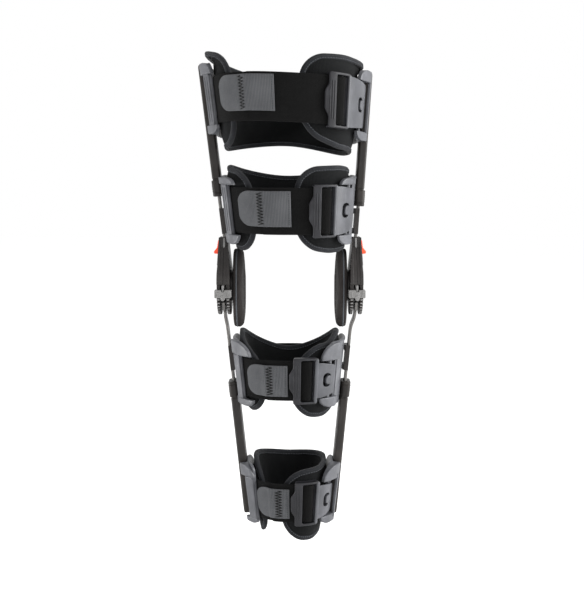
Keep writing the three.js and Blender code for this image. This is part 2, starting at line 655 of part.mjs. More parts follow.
// A curved plate with a strap slot near its front edge; the strip before the slot is the loop's rod.
function shellGeometry(cuff, sideName) {
  const right = sideName === "right";
  const turn = right ? 1 : -1;
  const { rod, lugFront, lugRear } = cuff[sideName];
  const seat = cuff.onSleeve ? "onSleeve" : "onBar";
  const rear = right ? SHELL.back : 360 - SHELL.back;
  const rodHalf = (right ? SHELL.rightRodWidth : SHELL.leftRodWidth) / 2;
  const slotHalf = cuff.strapWidth / 2 + 2;
  const at = (mm) => rod + turn * mm * cuff.degreesPerMm;
  const along = (degrees) => (turn * (degrees - rod)) / cuff.degreesPerMm;
  const run = (start, end, step) => evenly(Math.min(start, end), Math.max(start, end), step);
  const rearAlong = along(rear);
  const corners = (degrees) =>
    cornerInset(along(degrees) + rodHalf, SHELL.corner)
    + cornerInset(rearAlong - along(degrees), 2 * SHELL.corner);
  const front = at(-rodHalf);
  const frontCorner = SHELL.corner * cuff.degreesPerMm;
  const plateCorners = right ? [frontCorner, 2 * frontCorner] : [2 * frontCorner, frontCorner];
  const plate = slab(cuff, withCorners(Math.min(front, rear), Math.max(front, rear), 10, ...plateCorners), {
    inner: cuff.shellInner,
    outer: cuff.shellOuter,
    foot: (degrees) => cuff.shellFoot + corners(degrees),
    top: (degrees) => cuff.shellTop - corners(degrees),
  });
  const slot = slab(cuff, run(at(rodHalf), at(rodHalf + SHELL.slotWidth), 5), {
    inner: cuff.shellInner - 5, outer: cuff.shellOuter + 5, foot: -slotHalf, top: slotHalf,
  });

  // Rod and lugs slope from a low front to a high rear.
  const climb = (low, high, start, end) => (degrees) => {
    const share = Math.min(1, Math.max(0, (along(degrees) - start) / (end - start)));
    return cuff.shellOuter + THREE.MathUtils.lerp(low, high, share);
  };
  const rodEnd = rodHalf - 0.6;
  const rodLow = right ? SHELL.rodRise.slim : SHELL.rodRise.front;
  const rodHigh = right ? SHELL.rodRise.slim : SHELL.rodRise[seat];
  const rodStrip = slab(cuff, run(at(-rodEnd), at(rodEnd), 5), {
    inner: cuff.shellInner + 1,
    outer: climb(rodLow, rodHigh, -rodEnd, rodEnd),
    foot: -slotHalf - 1,
    top: slotHalf + 1,
  });
  const lugTop = SHELL.lugRise[seat];
  const lugCorner = SHELL.lugCorner * cuff.degreesPerMm;
  const lugStations = withCorners(
    Math.min(at(-lugFront), at(lugRear)), Math.max(at(-lugFront), at(lugRear)), 9,
    ...(right ? [lugCorner, 0] : [0, lugCorner]));
  const lugInset = (degrees) => 0.7 + cornerInset(along(degrees) + lugFront, SHELL.lugCorner);
  const lugFaces = {
    inner: cuff.shellInner + 0.2, outer: climb(SHELL.lugRise.front, lugTop, -lugFront, lugRear),
  };
  const lugs = [
    slab(cuff, lugStations, {
      ...lugFaces,
      foot: slotHalf + 0.4,
      top: (degrees) => Math.max(slotHalf + 1.4, cuff.shellTop - lugInset(degrees)),
    }),
    slab(cuff, lugStations, {
      ...lugFaces,
      foot: (degrees) => Math.min(-slotHalf - 1.4, cuff.shellFoot + lugInset(degrees)),
      top: -slotHalf - 0.4,
    }),
  ];
  if (right && cuff.onSleeve) {
    const barStations = [at(lugRear - SHELL.frontBarWidth), at(lugRear - 0.3)];
    lugs.push(slab(cuff, barStations, {
      inner: cuff.shellOuter + lugTop - 4.5,
      outer: cuff.shellOuter + lugTop - 0.6,
      foot: -slotHalf - 2,
      top: slotHalf + 2,
    }));
  }
  return geometryOf(solidOf(plate).subtract(solidOf(slot)).add(join([rodStrip, ...lugs])));
}

// A frame the strap turns back round, with a grip towards the tab and a hook over the right shell's rod.
function buckleGeometry(cuff) {
  const at = (mm) => cuff.buckleAt + mm * cuff.buckleDegreesPerMm;
  const out = (mm) => cuff.strapMiddle + mm;
  const inside = cuff.strapWidth / 2 + 0.8;
  const outside = inside + BUCKLE.rail;
  const start = at(BUCKLE.grip.from);
  const end = at(BUCKLE.edge.to);
  const windowEnd = at(BUCKLE.edge.from);
  const frame = slab(cuff, evenly(start, end, 6), {
    inner: out(BUCKLE.under), outer: out(BUCKLE.top), foot: -outside, top: outside,
  });
  const channel = slab(cuff, evenly(start - 5, windowEnd, 6), {
    inner: out(BUCKLE.under - 5), outer: out(BUCKLE.gripUnder), foot: -inside, top: inside,
  });
  const opening = slab(cuff, evenly(at(BUCKLE.grip.to), windowEnd, 6), {
    inner: out(BUCKLE.gripUnder - 1), outer: out(BUCKLE.top + 5), foot: -inside, top: inside,
  });
  const barHalf = BUCKLE.barRadius * 0.75; // square bar inside the strap's round turn
  const barMiddle = STRAP_THICKNESS / 2 + GAP + BUCKLE.barRadius;
  const bar = slab(cuff, [at(BUCKLE.bar - barHalf), at(BUCKLE.bar + barHalf)], {
    inner: out(barMiddle - barHalf), outer: out(barMiddle + barHalf), foot: -inside - 1, top: inside + 1,
  });
  const bulgeFront = at(BUCKLE.grip.from - BUCKLE.bulge);
  const bulgeHeight = (degrees) => {
    const share = (degrees - bulgeFront) / (BUCKLE.bulge * cuff.buckleDegreesPerMm);
    return inside * (0.35 + 0.5 * Math.min(1, Math.max(0, share)));
  };
  const bulge = slab(cuff, [bulgeFront, at(BUCKLE.grip.from), at(BUCKLE.grip.from + 1)], {
    inner: out(BUCKLE.gripUnder + 0.4),
    outer: out(BUCKLE.top - 0.5),
    foot: (degrees) => -bulgeHeight(degrees),
    top: bulgeHeight,
  });
  const rodEdge = cuff.right.rod + (SHELL.rightRodWidth / 2 + 0.6) * cuff.degreesPerMm;
  const lipEnd = rodEdge + BUCKLE.lip * cuff.buckleDegreesPerMm;
  const plateStart = at(BUCKLE.edge.to - 1);
  const plateHeight = (degrees) => {
    const share = THREE.MathUtils.smoothstep(degrees, plateStart, lipEnd);
    return cuff.hookHalf + BUCKLE.hookFlare * (1 - share);
  };
  const hook = slab(cuff, evenly(plateStart, lipEnd, 6), {
    inner: out(BUCKLE.hookUnder),
    outer: out(BUCKLE.top - 0.6),
    foot: (degrees) => -plateHeight(degrees),
    top: plateHeight,
  });
  const lip = slab(cuff, [rodEdge, lipEnd - 0.3], {
    inner: out(1.8),
    outer: out(BUCKLE.hookUnder + 1),
    foot: 1 - cuff.hookHalf,
    top: cuff.hookHalf - 1,
  });
  return geometryOf(solidOf(frame)
    .subtract(solidOf(channel))
    .subtract(solidOf(opening))
    .add(join([bar, bulge, hook, lip])));
}

// Assembly
const brace = new THREE.Group();
brace.name = "knee_brace";
const thighFrame = new THREE.Group();
thighFrame.name = "thigh_frame";
const calfFrame = new THREE.Group();
calfFrame.name = "calf_frame";
brace.add(thighFrame, calfFrame);

for (const side of SIDES) {
  const label = (piece) => `${side.name}_${piece}`;
  const thighSide = new THREE.Group();
  const calfSide = new THREE.Group();
  thighSide.scale.x = side.sign;
  calfSide.scale.x = side.sign;
  thighFrame.add(thighSide);
  calfFrame.add(calfSide);

  const thighSleeveLength = side.sleeveTop - side.sleeveFoot;
  const thighSleeveMiddle = (side.sleeveTop + side.sleeveFoot) / 2;
  const thighSleeve = addPiece(
    thighSide, label("thigh_sleeve"), sleeveGeometry(thighSleeveLength, -1), "sleeve_plastic");
  standOnUpright(thighSleeve, side, thighSleeveMiddle);
  const calfSleeveLength = UPRIGHT.calfSleeveTop - UPRIGHT.calfSleeveFoot;
  const calfSleeveMiddle = (UPRIGHT.calfSleeveTop + UPRIGHT.calfSleeveFoot) / 2;
  const calfSleeve = addPiece(
    calfSide, label("calf_sleeve"), sleeveGeometry(calfSleeveLength, 1), "sleeve_plastic");
  standOnUpright(calfSleeve, side, calfSleeveMiddle);

  // Each button sits in the middle of its sleeve's collar.
  const buttonSets = [
    { name: "thigh_button", group: thighSide, sleeve: thighSleeve, end: -1, length: thighSleeveLength },
    { name: "calf_button", group: calfSide, sleeve: calfSleeve, end: 1, length: calfSleeveLength },
  ];
  for (const set of buttonSets) {
    const button = addPiece(set.group, label(set.name), buttonGeometry(), "clip_grey");
    button.position.copy(set.sleeve.position);
    button.rotation.copy(set.sleeve.rotation);
    button.translateZ(set.end * (set.length / 2 - UPRIGHT.collarLength / 2));
  }

  const thighHinge = new THREE.Group();
  thighHinge.position.x = HINGE_X;
  thighSide.add(thighHinge);
  addPiece(thighHinge, label("thigh_bar"), thighBarGeometry(side), "bar_alloy");
  addPiece(thighHinge, label("hinge_housing"), housingGeometry(), "hinge_black");
  addPiece(thighHinge, label("pivot_pin"), pinGeometry(), "pin_steel");
  addPiece(thighHinge, label("stop_clip"), clipGeometry(), "clip_grey");
  onNeckFace(addPiece(thighHinge, label("lock_slider"), lockGeometry(), "lock_orange"));
  addPiece(thighHinge, label("condyle_pad"), condyleGeometry(), "pad_foam");

  const calfHinge = new THREE.Group();
  calfHinge.position.x = HINGE_X;
  calfSide.add(calfHinge);
  addPiece(calfHinge, label("calf_arm"), armGeometry(side), "bar_alloy");

  for (const cuff of CUFFS) {
    if (cuff.bracketZ !== null) {
      const group = cuff.bracketZ > 0 ? thighSide : calfSide;
      const bracket = addPiece(group, label(`${cuff.name}_bracket`), bracketGeometry(), "hinge_black");
      standOnUpright(bracket, side, cuff.bracketZ);
    }
  }
}

for (const row of CUFFS) {
  const cuff = completeCuff(row);
  const group = cuff.z > 0 ? thighFrame : calfFrame;
  addPiece(group, `${cuff.name}_pad`, padGeometry(cuff), "pad_foam");
  addPiece(group, `${cuff.name}_strap`, strapGeometry(cuff), "strap_webbing");
  addPiece(group, `${cuff.name}_tab`, tabGeometry(cuff), "hook_tab");
  addPiece(group, `${cuff.name}_buckle`, buckleGeometry(cuff), "buckle_plastic");
  for (const side of SIDES) {
    addPiece(group, `${cuff.name}_${side.name}_shell`, shellGeometry(cuff, side.name), "shell_plastic");
  }
}

export default brace;
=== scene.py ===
# %% [markdown]
# # Dressing a post-operative knee brace
# The brace is two hinged side bars held to a leg by four padded cuffs. The solids of its pieces
# come packed in one frame, in metres, with the knee axis at the origin and the front towards -Y.
# This lesson builds the visible surfaces in that same frame: cushions that swell between their
# bound edges, webbing, moulded plastic and brushed metal.

# %% Load the frame
import math

import bmesh
import bpy
import numpy as np
from mathutils import Matrix, Vector


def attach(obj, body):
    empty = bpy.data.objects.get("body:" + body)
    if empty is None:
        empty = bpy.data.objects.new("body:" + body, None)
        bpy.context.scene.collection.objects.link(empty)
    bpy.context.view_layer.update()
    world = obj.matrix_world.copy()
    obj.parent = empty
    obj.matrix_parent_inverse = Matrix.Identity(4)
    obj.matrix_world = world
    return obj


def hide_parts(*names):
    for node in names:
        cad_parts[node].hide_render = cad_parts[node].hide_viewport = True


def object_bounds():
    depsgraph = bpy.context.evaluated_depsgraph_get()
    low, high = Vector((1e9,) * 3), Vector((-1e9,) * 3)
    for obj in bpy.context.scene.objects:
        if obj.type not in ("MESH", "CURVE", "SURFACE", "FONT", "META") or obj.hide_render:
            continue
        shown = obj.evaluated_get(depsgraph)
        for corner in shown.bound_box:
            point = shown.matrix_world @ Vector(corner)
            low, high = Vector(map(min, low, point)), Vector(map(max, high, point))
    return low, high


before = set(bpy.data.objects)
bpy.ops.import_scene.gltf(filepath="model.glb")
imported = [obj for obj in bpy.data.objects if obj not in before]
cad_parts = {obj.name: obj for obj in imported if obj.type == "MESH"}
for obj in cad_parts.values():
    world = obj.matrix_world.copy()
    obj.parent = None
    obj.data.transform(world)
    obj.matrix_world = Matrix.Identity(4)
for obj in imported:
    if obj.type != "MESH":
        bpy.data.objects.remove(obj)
cad_low, cad_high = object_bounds()
scene = bpy.context.scene

# %% [markdown]
# ## Camera
# The picture was taken from the front, a little above the knee, from just over a metre away.
# A real lens length gives the right perspective, so the pieces need no cheating to line up.

# %% Camera
EYE = Vector((0.0025, -1.1, 0.1))
LOOKED_AT = Vector((0.0025, 0.0, -0.019))
LENS, SENSOR = 52, 36  # millimetres


def aimed(place, aim):
    """The turn that makes a camera or a lamp at one place face another."""
    return (Vector(aim) - Vector(place)).to_track_quat("-Z", "Y").to_euler()


camera = bpy.data.objects.new("camera", bpy.data.cameras.new("camera"))
camera.data.lens = LENS
camera.data.sensor_width = SENSOR
camera.location = EYE
camera.rotation_euler = aimed(EYE, LOOKED_AT)
scene.collection.objects.link(camera)
scene.camera = camera
print("camera distance", round((LOOKED_AT - EYE).length, 3))

# %% [markdown]
# ## Studio
# A product shot of black goods needs broad soft lights: a dark surface shows its form mostly by
# what it mirrors. A tall light on each side makes everything that turns to the side pale and
# leaves the front dark, a weak fill opens the shadows, and a white floor under a white sky keeps
# the surroundings plain.

# %% Floor and lights
WHITE = (1, 1, 1, 1)
FLOOR_DROP = 0.05  # the brace hangs this far above the floor
FLOOR_REACH = 12
LIGHTS = (  # name, place, aim, width, height, watts
    ("right_side", (1.5, -0.4, 0.5), (0, 0, 0), 0.8, 1.4, 46),
    ("left_side", (-1.2, -0.2, -0.6), (0, 0, -0.25), 0.6, 0.8, 56),
    ("fill", (0.2, -1.8, 0.6), (0, 0, 0), 1.2, 1.2, 6),
)


def studio_floor(height, reach):
    mesh = bpy.data.meshes.new("floor")
    corners = [(x * reach, y * reach, height) for x, y in ((-1, -1), (1, -1), (1, 1), (-1, 1))]
    mesh.from_pydata(corners, [], [(0, 1, 2, 3)])
    floor = bpy.data.objects.new("floor", mesh)
    scene.collection.objects.link(floor)
    paint = bpy.data.materials.new("floor_paint")
    paint.use_nodes = True
    shader = paint.node_tree.nodes["Principled BSDF"]
    shader.inputs["Base Color"].default_value = WHITE
    shader.inputs["Roughness"].default_value = 1
    shader.inputs["Specular IOR Level"].default_value = 0
    mesh.materials.append(paint)


def soft_light(name, place, aim, width, height, watts):
    lamp = bpy.data.lights.new(name, "AREA")
    lamp.shape = "RECTANGLE"
    lamp.size = width
    lamp.size_y = height
    lamp.energy = watts
    holder = bpy.data.objects.new(name, lamp)
    holder.location = place
    holder.rotation_euler = aimed(place, aim)
    scene.collection.objects.link(holder)


studio_floor(cad_low.z - FLOOR_DROP, FLOOR_REACH)
for light in LIGHTS:
    soft_light(*light)
sky = bpy.data.worlds.new("studio")
scene.world = sky
sky.use_nodes = True
sky.node_tree.nodes["Background"].inputs["Color"].default_value = WHITE
sky.node_tree.nodes["Background"].inputs["Strength"].default_value = 1.0
scene.view_settings.view_transform = "Standard"
print("floor at", round(cad_low.z - FLOOR_DROP, 3), "lights", len(LIGHTS))

# %% [markdown]
# ## Finishes
# Every finish starts from one shader and adds what the real stuff shows up close: two or three
# tones that drift, a roughness that is never even, and a fine relief. A woven or knitted cloth
# needs a direction, so cloth reads where each point lay on the flat cut, kept in an attribute.

# %% Helpers for finishes
def linear(hex_colour):
    """A colour written as six hex digits, as the shader wants it."""
    parts = [int(hex_colour[i:i + 2], 16) / 255 for i in (0, 2, 4)]
    return tuple(p / 12.92 if p < 0.04045 else ((p + 0.055) / 1.055) ** 2.4 for p in parts) + (1.0,)


def add_node(tree, kind, inputs=None, **settings):
    """A new node with its settings, and with its inputs set to values or linked to sockets."""
    made = tree.nodes.new(kind)
    for key, value in settings.items():
        setattr(made, key, value)
    for key, value in (inputs or {}).items():
        if isinstance(value, bpy.types.NodeSocket):
            tree.links.new(value, made.inputs[key])
        else:
            made.inputs[key].default_value = value
    return made


def bare_finish(name, specular=0.5, metallic=0.0, sheen=0.0):
    made = bpy.data.materials.new(name)
    made.use_nodes = True
    shader = made.node_tree.nodes["Principled BSDF"]
    shader.inputs["Specular IOR Level"].default_value = specular
    shader.inputs["Metallic"].default_value = metallic
    shader.inputs["Sheen Weight"].default_value = sheen
    shader.inputs["Sheen Roughness"].default_value = 0.5
    return made, made.node_tree, shader


def noise_of(tree, vector, size, detail):
    """Noise whose blots are about this many metres across."""
    inputs = {"Vector": vector, "Scale": 1 / size, "Detail": detail}
    return add_node(tree, "ShaderNodeTexNoise", inputs).outputs[0]


def calc(tree, operation, first, second):
    return add_node(tree, "ShaderNodeMath", {0: first, 1: second}, operation=operation).outputs[0]


def weighed(tree, *parts):
    """The sum of some factors, each times its own weight."""
    shares = [calc(tree, "MULTIPLY", factor, weight) for factor, weight in parts]
    total = shares[0]
    for share in shares[1:]:
        total = calc(tree, "ADD", total, share)
    return total


def coat(tree, shader, tone, stops, gloss, rough):
    """Gives a shader its colours along one factor and its roughness range along another."""
    ramp = add_node(tree, "ShaderNodeValToRGB", {"Fac": tone})
    elements = ramp.color_ramp.elements
    for element, (place, colour) in zip(elements, (stops[0], stops[-1])):
        element.position = place
        element.color = linear(colour)
    for place, colour in stops[1:-1]:
        elements.new(place).color = linear(colour)
    tree.links.new(ramp.outputs["Color"], shader.inputs["Base Color"])
    spread = add_node(tree, "ShaderNodeMapRange", {"Value": gloss, "To Min": rough[0], "To Max": rough[1]})
    tree.links.new(spread.outputs[0], shader.inputs["Roughness"])


def relief(tree, shader, height, depth):
    bump = add_node(tree, "ShaderNodeBump", {"Height": height, "Distance": depth, "Strength": 1.0})
    tree.links.new(bump.outputs["Normal"], shader.inputs["Normal"])


print("a middle grey for the shader", [round(part, 3) for part in linear("808080")])

# %% [markdown]
# ## Cloth finishes
# Pads are covered with a fine knit, the straps with loop pile that the hooks grip, and the tabs
# are woven hook tape with ribs across. One maker builds them all: two rows of waves crossing on
# the flat cut give the weave, and soft noise gives the fuzz and the uneven dye.

# %% Cloth finishes
FLUFF_SIZE, DYE_SIZE = 0.0007, 0.03
CLOTH_STOPS = (0.25, 0.55, 0.9)


def woven(name, colours, pitch, weave_depth, fuzz, sheen, roughness, cross=0.5):
    """Cloth with ribs at this pitch in metres along its cut, crossed by finer ones."""
    made, tree, shader = bare_finish(name, specular=0.1, sheen=sheen)
    lay = add_node(tree, "ShaderNodeAttribute", attribute_name="lay").outputs["Vector"]
    wave_scale = 2 * math.pi / 20 / pitch
    ribs, rows = (add_node(tree, "ShaderNodeTexWave", {"Vector": lay, "Scale": scale, "Distortion": 0.6},
                           bands_direction=direction).outputs["Fac"]
                  for scale, direction in ((wave_scale, "X"), (1.3 * wave_scale, "Y")))
    weave = calc(tree, "ADD", ribs, calc(tree, "MULTIPLY", rows, cross))
    fluff = noise_of(tree, lay, FLUFF_SIZE, 4.0)
    dye = noise_of(tree, lay, DYE_SIZE, 4.0)
    tone = weighed(tree, (weave, 0.22), (fluff, 0.4), (dye, 0.35))
    coat(tree, shader, tone, list(zip(CLOTH_STOPS, colours)), fluff, (roughness - 0.08, roughness + 0.06))
    relief(tree, shader, weighed(tree, (weave, 1 - fuzz), (fluff, 2 * fuzz)), weave_depth)
    return made


pad_knit = woven("pad_knit", ("040505", "090a0b", "121314"), 0.0016, 0.0003, 0.45, 0.02, 0.85)
pad_tape = woven("pad_tape", ("0f1012", "1b1c1f", "2c2e31"), 0.0012, 0.0003, 0.3, 0.06, 0.75, cross=0.2)
loop_pile = woven("loop_pile", ("030303", "080808", "111111"), 0.0014, 0.0004, 0.8, 0.01, 0.9)
knee_knit = woven("knee_knit", ("171515", "272423", "393533"), 0.0016, 0.0003, 0.45, 0.04, 0.8)
hook_tape = woven("hook_tape", ("2b2c2f", "464749", "626365"), 0.0016, 0.0003, 0.25, 0.04, 0.62, cross=0.25)
light_thread = woven("light_thread", ("2c2e32", "43464a", "5c5f63"), 0.0005, 0.0001, 0.3, 0.1, 0.6)
dark_thread = woven("dark_thread", ("030303", "060606", "0c0c0c"), 0.0005, 0.0001, 0.3, 0.1, 0.6)
print("finishes so far", len(bpy.data.materials))

# %% [markdown]
# ## Plastic and metal finishes
# The moulded parts came out of spark-eroded tools, so their skin is a fine even grain with a satin
# gloss, scuffed a little lighter by handling. The bars are brushed along their length: noise that
# is stretched along Z does that.

# %% Plastic and metal finishes
DRIFT_SIZE, GRAIN_SIZE, SCUFF_SIZE, BRUSH_SIZE = 0.02, 0.0006, 0.003, 0.0005
GRAIN_DEPTH = 0.00003
GLOSS_RANGE = 0.12  # how far the roughness strays either way
MOULDED_STOPS, BRUSHED_STOPS = (0.25, 0.5, 0.8), (0.3, 0.5, 0.7)


def stretched(tree, vector, along_z):
    """The same coordinates with Z shrunk, so that noise runs out into streaks along Z."""
    return add_node(tree, "ShaderNodeMapping", {"Vector": vector, "Scale": (1, 1, along_z)}).outputs[0]


def moulded(name, colours, roughness, specular=0.45):
    made, tree, shader = bare_finish(name, specular=specular)
    place = add_node(tree, "ShaderNodeTexCoord").outputs["Object"]
    drift = noise_of(tree, place, DRIFT_SIZE, 5.0)
    skin = noise_of(tree, place, GRAIN_SIZE, 3.0)
    scuffs = noise_of(tree, stretched(tree, place, 0.15), SCUFF_SIZE, 8.0)
    worn = calc(tree, "GREATER_THAN", scuffs, 0.62)
    tone = weighed(tree, (drift, 0.7), (skin, 0.25), (worn, 0.12))
    coat(tree, shader, tone, list(zip(MOULDED_STOPS, colours)), weighed(tree, (drift, 0.6), (scuffs, 0.4)),
         (roughness - GLOSS_RANGE, roughness + GLOSS_RANGE))
    relief(tree, shader, skin, GRAIN_DEPTH)
    return made


def brushed(name, colours, roughness):
    made, tree, shader = bare_finish(name, metallic=1.0)
    place = add_node(tree, "ShaderNodeTexCoord").outputs["Object"]
    brush = noise_of(tree, stretched(tree, place, 0.02), BRUSH_SIZE, 3.0)
    drift = noise_of(tree, place, DRIFT_SIZE, 4.0)
    tone = weighed(tree, (brush, 0.5), (drift, 0.5))
    coat(tree, shader, tone, list(zip(BRUSHED_STOPS, colours)), tone,
         (roughness - GLOSS_RANGE, roughness + GLOSS_RANGE))
    relief(tree, shader, brush, GRAIN_DEPTH)
    return made


shell_grey = moulded("shell_grey", ("3c3d40", "4b4c50", "5e5f64"), 0.42, specular=0.35)
buckle_grey = moulded("buckle_grey", ("161618", "202023", "2d2e31"), 0.45, specular=0.22)
hook_grey = moulded("hook_grey", ("323336", "404145", "525358"), 0.42, specular=0.35)
sleeve_charcoal = moulded("sleeve_charcoal", ("191716", "24211f", "33302e"), 0.45, specular=0.22)
hinge_charcoal = moulded("hinge_charcoal", ("1b1918", "262322", "363331"), 0.42, specular=0.25)
clip_silver = moulded("clip_silver", ("5c5b5a", "6e6d6c", "848383"), 0.38, specular=0.35)
lock_orange = moulded("lock_orange", ("d83a16", "ee4a22", "f7683c"), 0.42)
bar_alloy = brushed("bar_alloy", ("555452", "6b6967", "848280"), 0.42)
pin_steel = brushed("pin_steel", ("5c5d60", "77787b", "939497"), 0.34)
print("finishes so far", len(bpy.data.materials))

# %% [markdown]
# ## Outlines
# A piece is put together from simple shapes, kept as plain arrays until it is finished. Most of
# them start as an outline with rounded corners, as moulded and punched parts have. Blender could
# bevel the corners later, but an outline drawn round from the start stays exact when it is bent.

# %% Outlines
class Shape:
    """Corners in mm, faces, where the corners lie on the flat cut, and the finish they take."""

    def __init__(self, points, faces, finish=0, lay=None):
        self.points = np.asarray(points, float).reshape(-1, 3)
        self.faces = faces
        self.finish = finish
        self.lay = self.points if lay is None else lay

    def placed(self, place):
        return Shape(place(self.points), self.faces, self.finish, self.lay)


def rounded(corners, radii, steps=5):
    """A closed outline with every corner rounded."""
    if not hasattr(radii, "__len__"):
        radii = [radii] * len(corners)
    points = []
    count = len(corners)
    for i, radius in enumerate(radii):
        here = np.array(corners[i], float)
        back = np.array(corners[i - 1], float) - here
        ahead = np.array(corners[(i + 1) % count], float) - here
        back_length, ahead_length = np.linalg.norm(back), np.linalg.norm(ahead)
        back, ahead = back / back_length, ahead / ahead_length
        half = math.acos(max(-1, min(1, float(back @ ahead)))) / 2
        if radius <= 0 or half > math.pi / 2 - 0.01:
            points.append(tuple(here))
            continue
        reach = min(radius / math.tan(half), 0.49 * back_length, 0.49 * ahead_length)
        radius = reach * math.tan(half)
        middle = here + (back + ahead) / np.linalg.norm(back + ahead) * (radius / math.sin(half))
        start, end = here + back * reach - middle, here + ahead * reach - middle
        swing = math.pi - 2 * half
        for share in np.arange(steps + 1) / steps:
            arm = (math.sin((1 - share) * swing) * start + math.sin(share * swing) * end) / math.sin(swing)
            points.append(tuple(middle + arm))
    return points


def bar_outline(low, high, radius, steps=5):
    (left, foot), (right, top) = low, high
    return rounded([(left, foot), (right, foot), (right, top), (left, top)], radius, steps)


print("points round a small bar", len(bar_outline((-2, -1), (2, 1), 0.5)))

# %% [markdown]
# ## Plates
# Moulded plates are drawn flat, as a toolmaker would: an outline with holes, extruded with a
# rounded rim. Blender's filled curves do just that, and a plate that is sliced across can then be
# bent round the leg without creases.

# %% Plates
WELD, SLICE_WELD = 0.004, 0.002  # mm within which corners become one


def flat_plate(outline, holes, low, high, rim=0.5, slices=None, finish=0, rim_steps=2):
    """A plate drawn in X and Y from one Z to another, with a rounded rim, sliced across X."""
    curve = bpy.data.curves.new("outline", "CURVE")
    curve.dimensions = "2D"
    curve.fill_mode = "BOTH"
    curve.extrude = (high - low) / 2 - rim
    curve.bevel_depth = rim
    curve.bevel_resolution = rim_steps
    curve.offset = -rim
    for loop in (outline, *holes):
        spline = curve.splines.new("POLY")
        spline.points.add(len(loop) - 1)
        spline.points.foreach_set("co", [c for x, y in loop for c in (x, y, 0.0, 1.0)])
        spline.use_cyclic_u = True
    holder = bpy.data.objects.new("outline", curve)
    mesh = bpy.data.meshes.new_from_object(holder)
    work = bmesh.new()
    work.from_mesh(mesh)
    bmesh.ops.remove_doubles(work, verts=work.verts, dist=WELD)
    if slices:
        across = [v.co.x for v in work.verts]
        for cut in np.arange(min(across) + slices, max(across) - 0.2 * slices, slices):
            bmesh.ops.bisect_plane(work, geom=[*work.verts, *work.edges, *work.faces], dist=SLICE_WELD,
                                   plane_co=(cut, 0, 0), plane_no=(1, 0, 0))
    work.verts.index_update()
    points = np.array([v.co for v in work.verts])
    points[:, 2] += (low + high) / 2
    faces = [tuple(v.index for v in face.verts) for face in work.faces]
    work.free()
    bpy.data.objects.remove(holder)
    bpy.data.curves.remove(curve)
    bpy.data.meshes.remove(mesh)
    return Shape(points, faces, finish)


def bar_plate(low, high, corner, base, top, steps=5, **look):
    """A plate whose outline is a box with rounded corners."""
    return flat_plate(bar_outline(low, high, corner, steps), (), base, top, **look)


print("faces of a small plate", len(bar_plate((-2, -1), (2, 1), 0.5, 0, 1, rim=0.2).faces))

# %% [markdown]
# ## Sweeps and pieces
# Bands, tubes and turned parts are rings of points with a skin over them. When a piece's shapes
# are ready they are joined into one mesh, which rides on its body and stands for the solid that it
# dresses. Flat faces keep crisp edges: sharp ones are marked by angle, and the normals of the rest
# are weighted by the size of their faces.

# %% Sweeps and pieces
MM = 0.001


def loft(rings, finish=0, closed=False, lays=None):
    """Skin over rings of equally many points, with the rings' places on the flat cut if there are any."""
    count = len(rings[0])
    faces = []
    pairs = len(rings) if closed else len(rings) - 1
    for i in range(pairs):
        a, b = i * count, ((i + 1) % len(rings)) * count
        faces += [(a + j, a + (j + 1) % count, b + (j + 1) % count, b + j) for j in range(count)]
    if not closed:
        last = (len(rings) - 1) * count
        faces += [tuple(range(count))[::-1], tuple(range(last, last + count))]
    return Shape(np.concatenate(rings), faces, finish, None if lays is None else np.concatenate(lays))


def outward_mesh(name, points, faces):
    """A mesh with all its faces turned outwards."""
    mesh = bpy.data.meshes.new(name)
    mesh.from_pydata(points, [], faces)
    work = bmesh.new()
    work.from_mesh(mesh)
    bmesh.ops.recalc_face_normals(work, faces=work.faces)
    work.to_mesh(mesh)
    work.free()
    return mesh


def make_piece(name, shapes, body, finishes, stands_for=(), place=None, smooth_angle=40, hard=True):
    """Joins shapes into one piece in metres that rides on a body and stands for CAD nodes."""
    if place:
        shapes = [shape.placed(place) for shape in shapes]
    faces, finish_of = [], []
    start = 0
    for shape in shapes:
        faces += [tuple(start + i for i in face) for face in shape.faces]
        finish_of += [shape.finish] * len(shape.faces)
        start += len(shape.points)
    mesh = outward_mesh(name, np.concatenate([shape.points for shape in shapes]) * MM, faces)
    lay = np.concatenate([shape.lay for shape in shapes]) * MM
    kept_lay = mesh.attributes.new("lay", "FLOAT_VECTOR", "POINT")
    kept_lay.data.foreach_set("vector", lay.astype(np.float32).ravel())
    mesh.polygons.foreach_set("material_index", finish_of)
    mesh.polygons.foreach_set("use_smooth", [True] * len(mesh.polygons))
    mesh.set_sharp_from_angle(angle=math.radians(smooth_angle))
    for finish in finishes:
        mesh.materials.append(finish)
    piece = bpy.data.objects.new(name, mesh)
    scene.collection.objects.link(piece)
    if hard:
        piece.modifiers.new("even_shading", "WEIGHTED_NORMAL").keep_sharp = True
    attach(piece, body)
    if stands_for:
        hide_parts(*stands_for)
    return piece


print("solids to dress", sum(not name.endswith("_bracket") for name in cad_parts))

# %% [markdown]
# ## Side bars
# The two uprights carry everything. Each is bent above and below its hinge, spreads along the thigh
# and draws in along the calf, the left one more than the right. One function gives the place of a
# bar at any height, so a sleeve and a cuff at that height agree.

# %% Side bars
HINGE_X = 82.8
THIGH_BEND, THIGH_STEP = 68, 1
CALF_BEND = -52
SIDES = {
    "left": {"sign": -1, "thigh": 0.118, "calf": 0.105, "calf_step": -3,
             "sleeve_foot": 112, "sleeve_top": 274},
    "right": {"sign": 1, "thigh": 0.064, "calf": 0.092, "calf_step": -5.5,
              "sleeve_foot": 100, "sleeve_top": 264},
}


def upright_x(side, z):
    """How far out a side bar stands at one height."""
    row = SIDES[side]
    if z >= THIGH_BEND:
        return HINGE_X + THIGH_STEP + (z - THIGH_BEND) * row["thigh"]
    return HINGE_X + row["calf_step"] + (z - CALF_BEND) * row["calf"]


print("a bar stands out, 200 mm up", {side: round(upright_x(side, 200), 1) for side in SIDES})

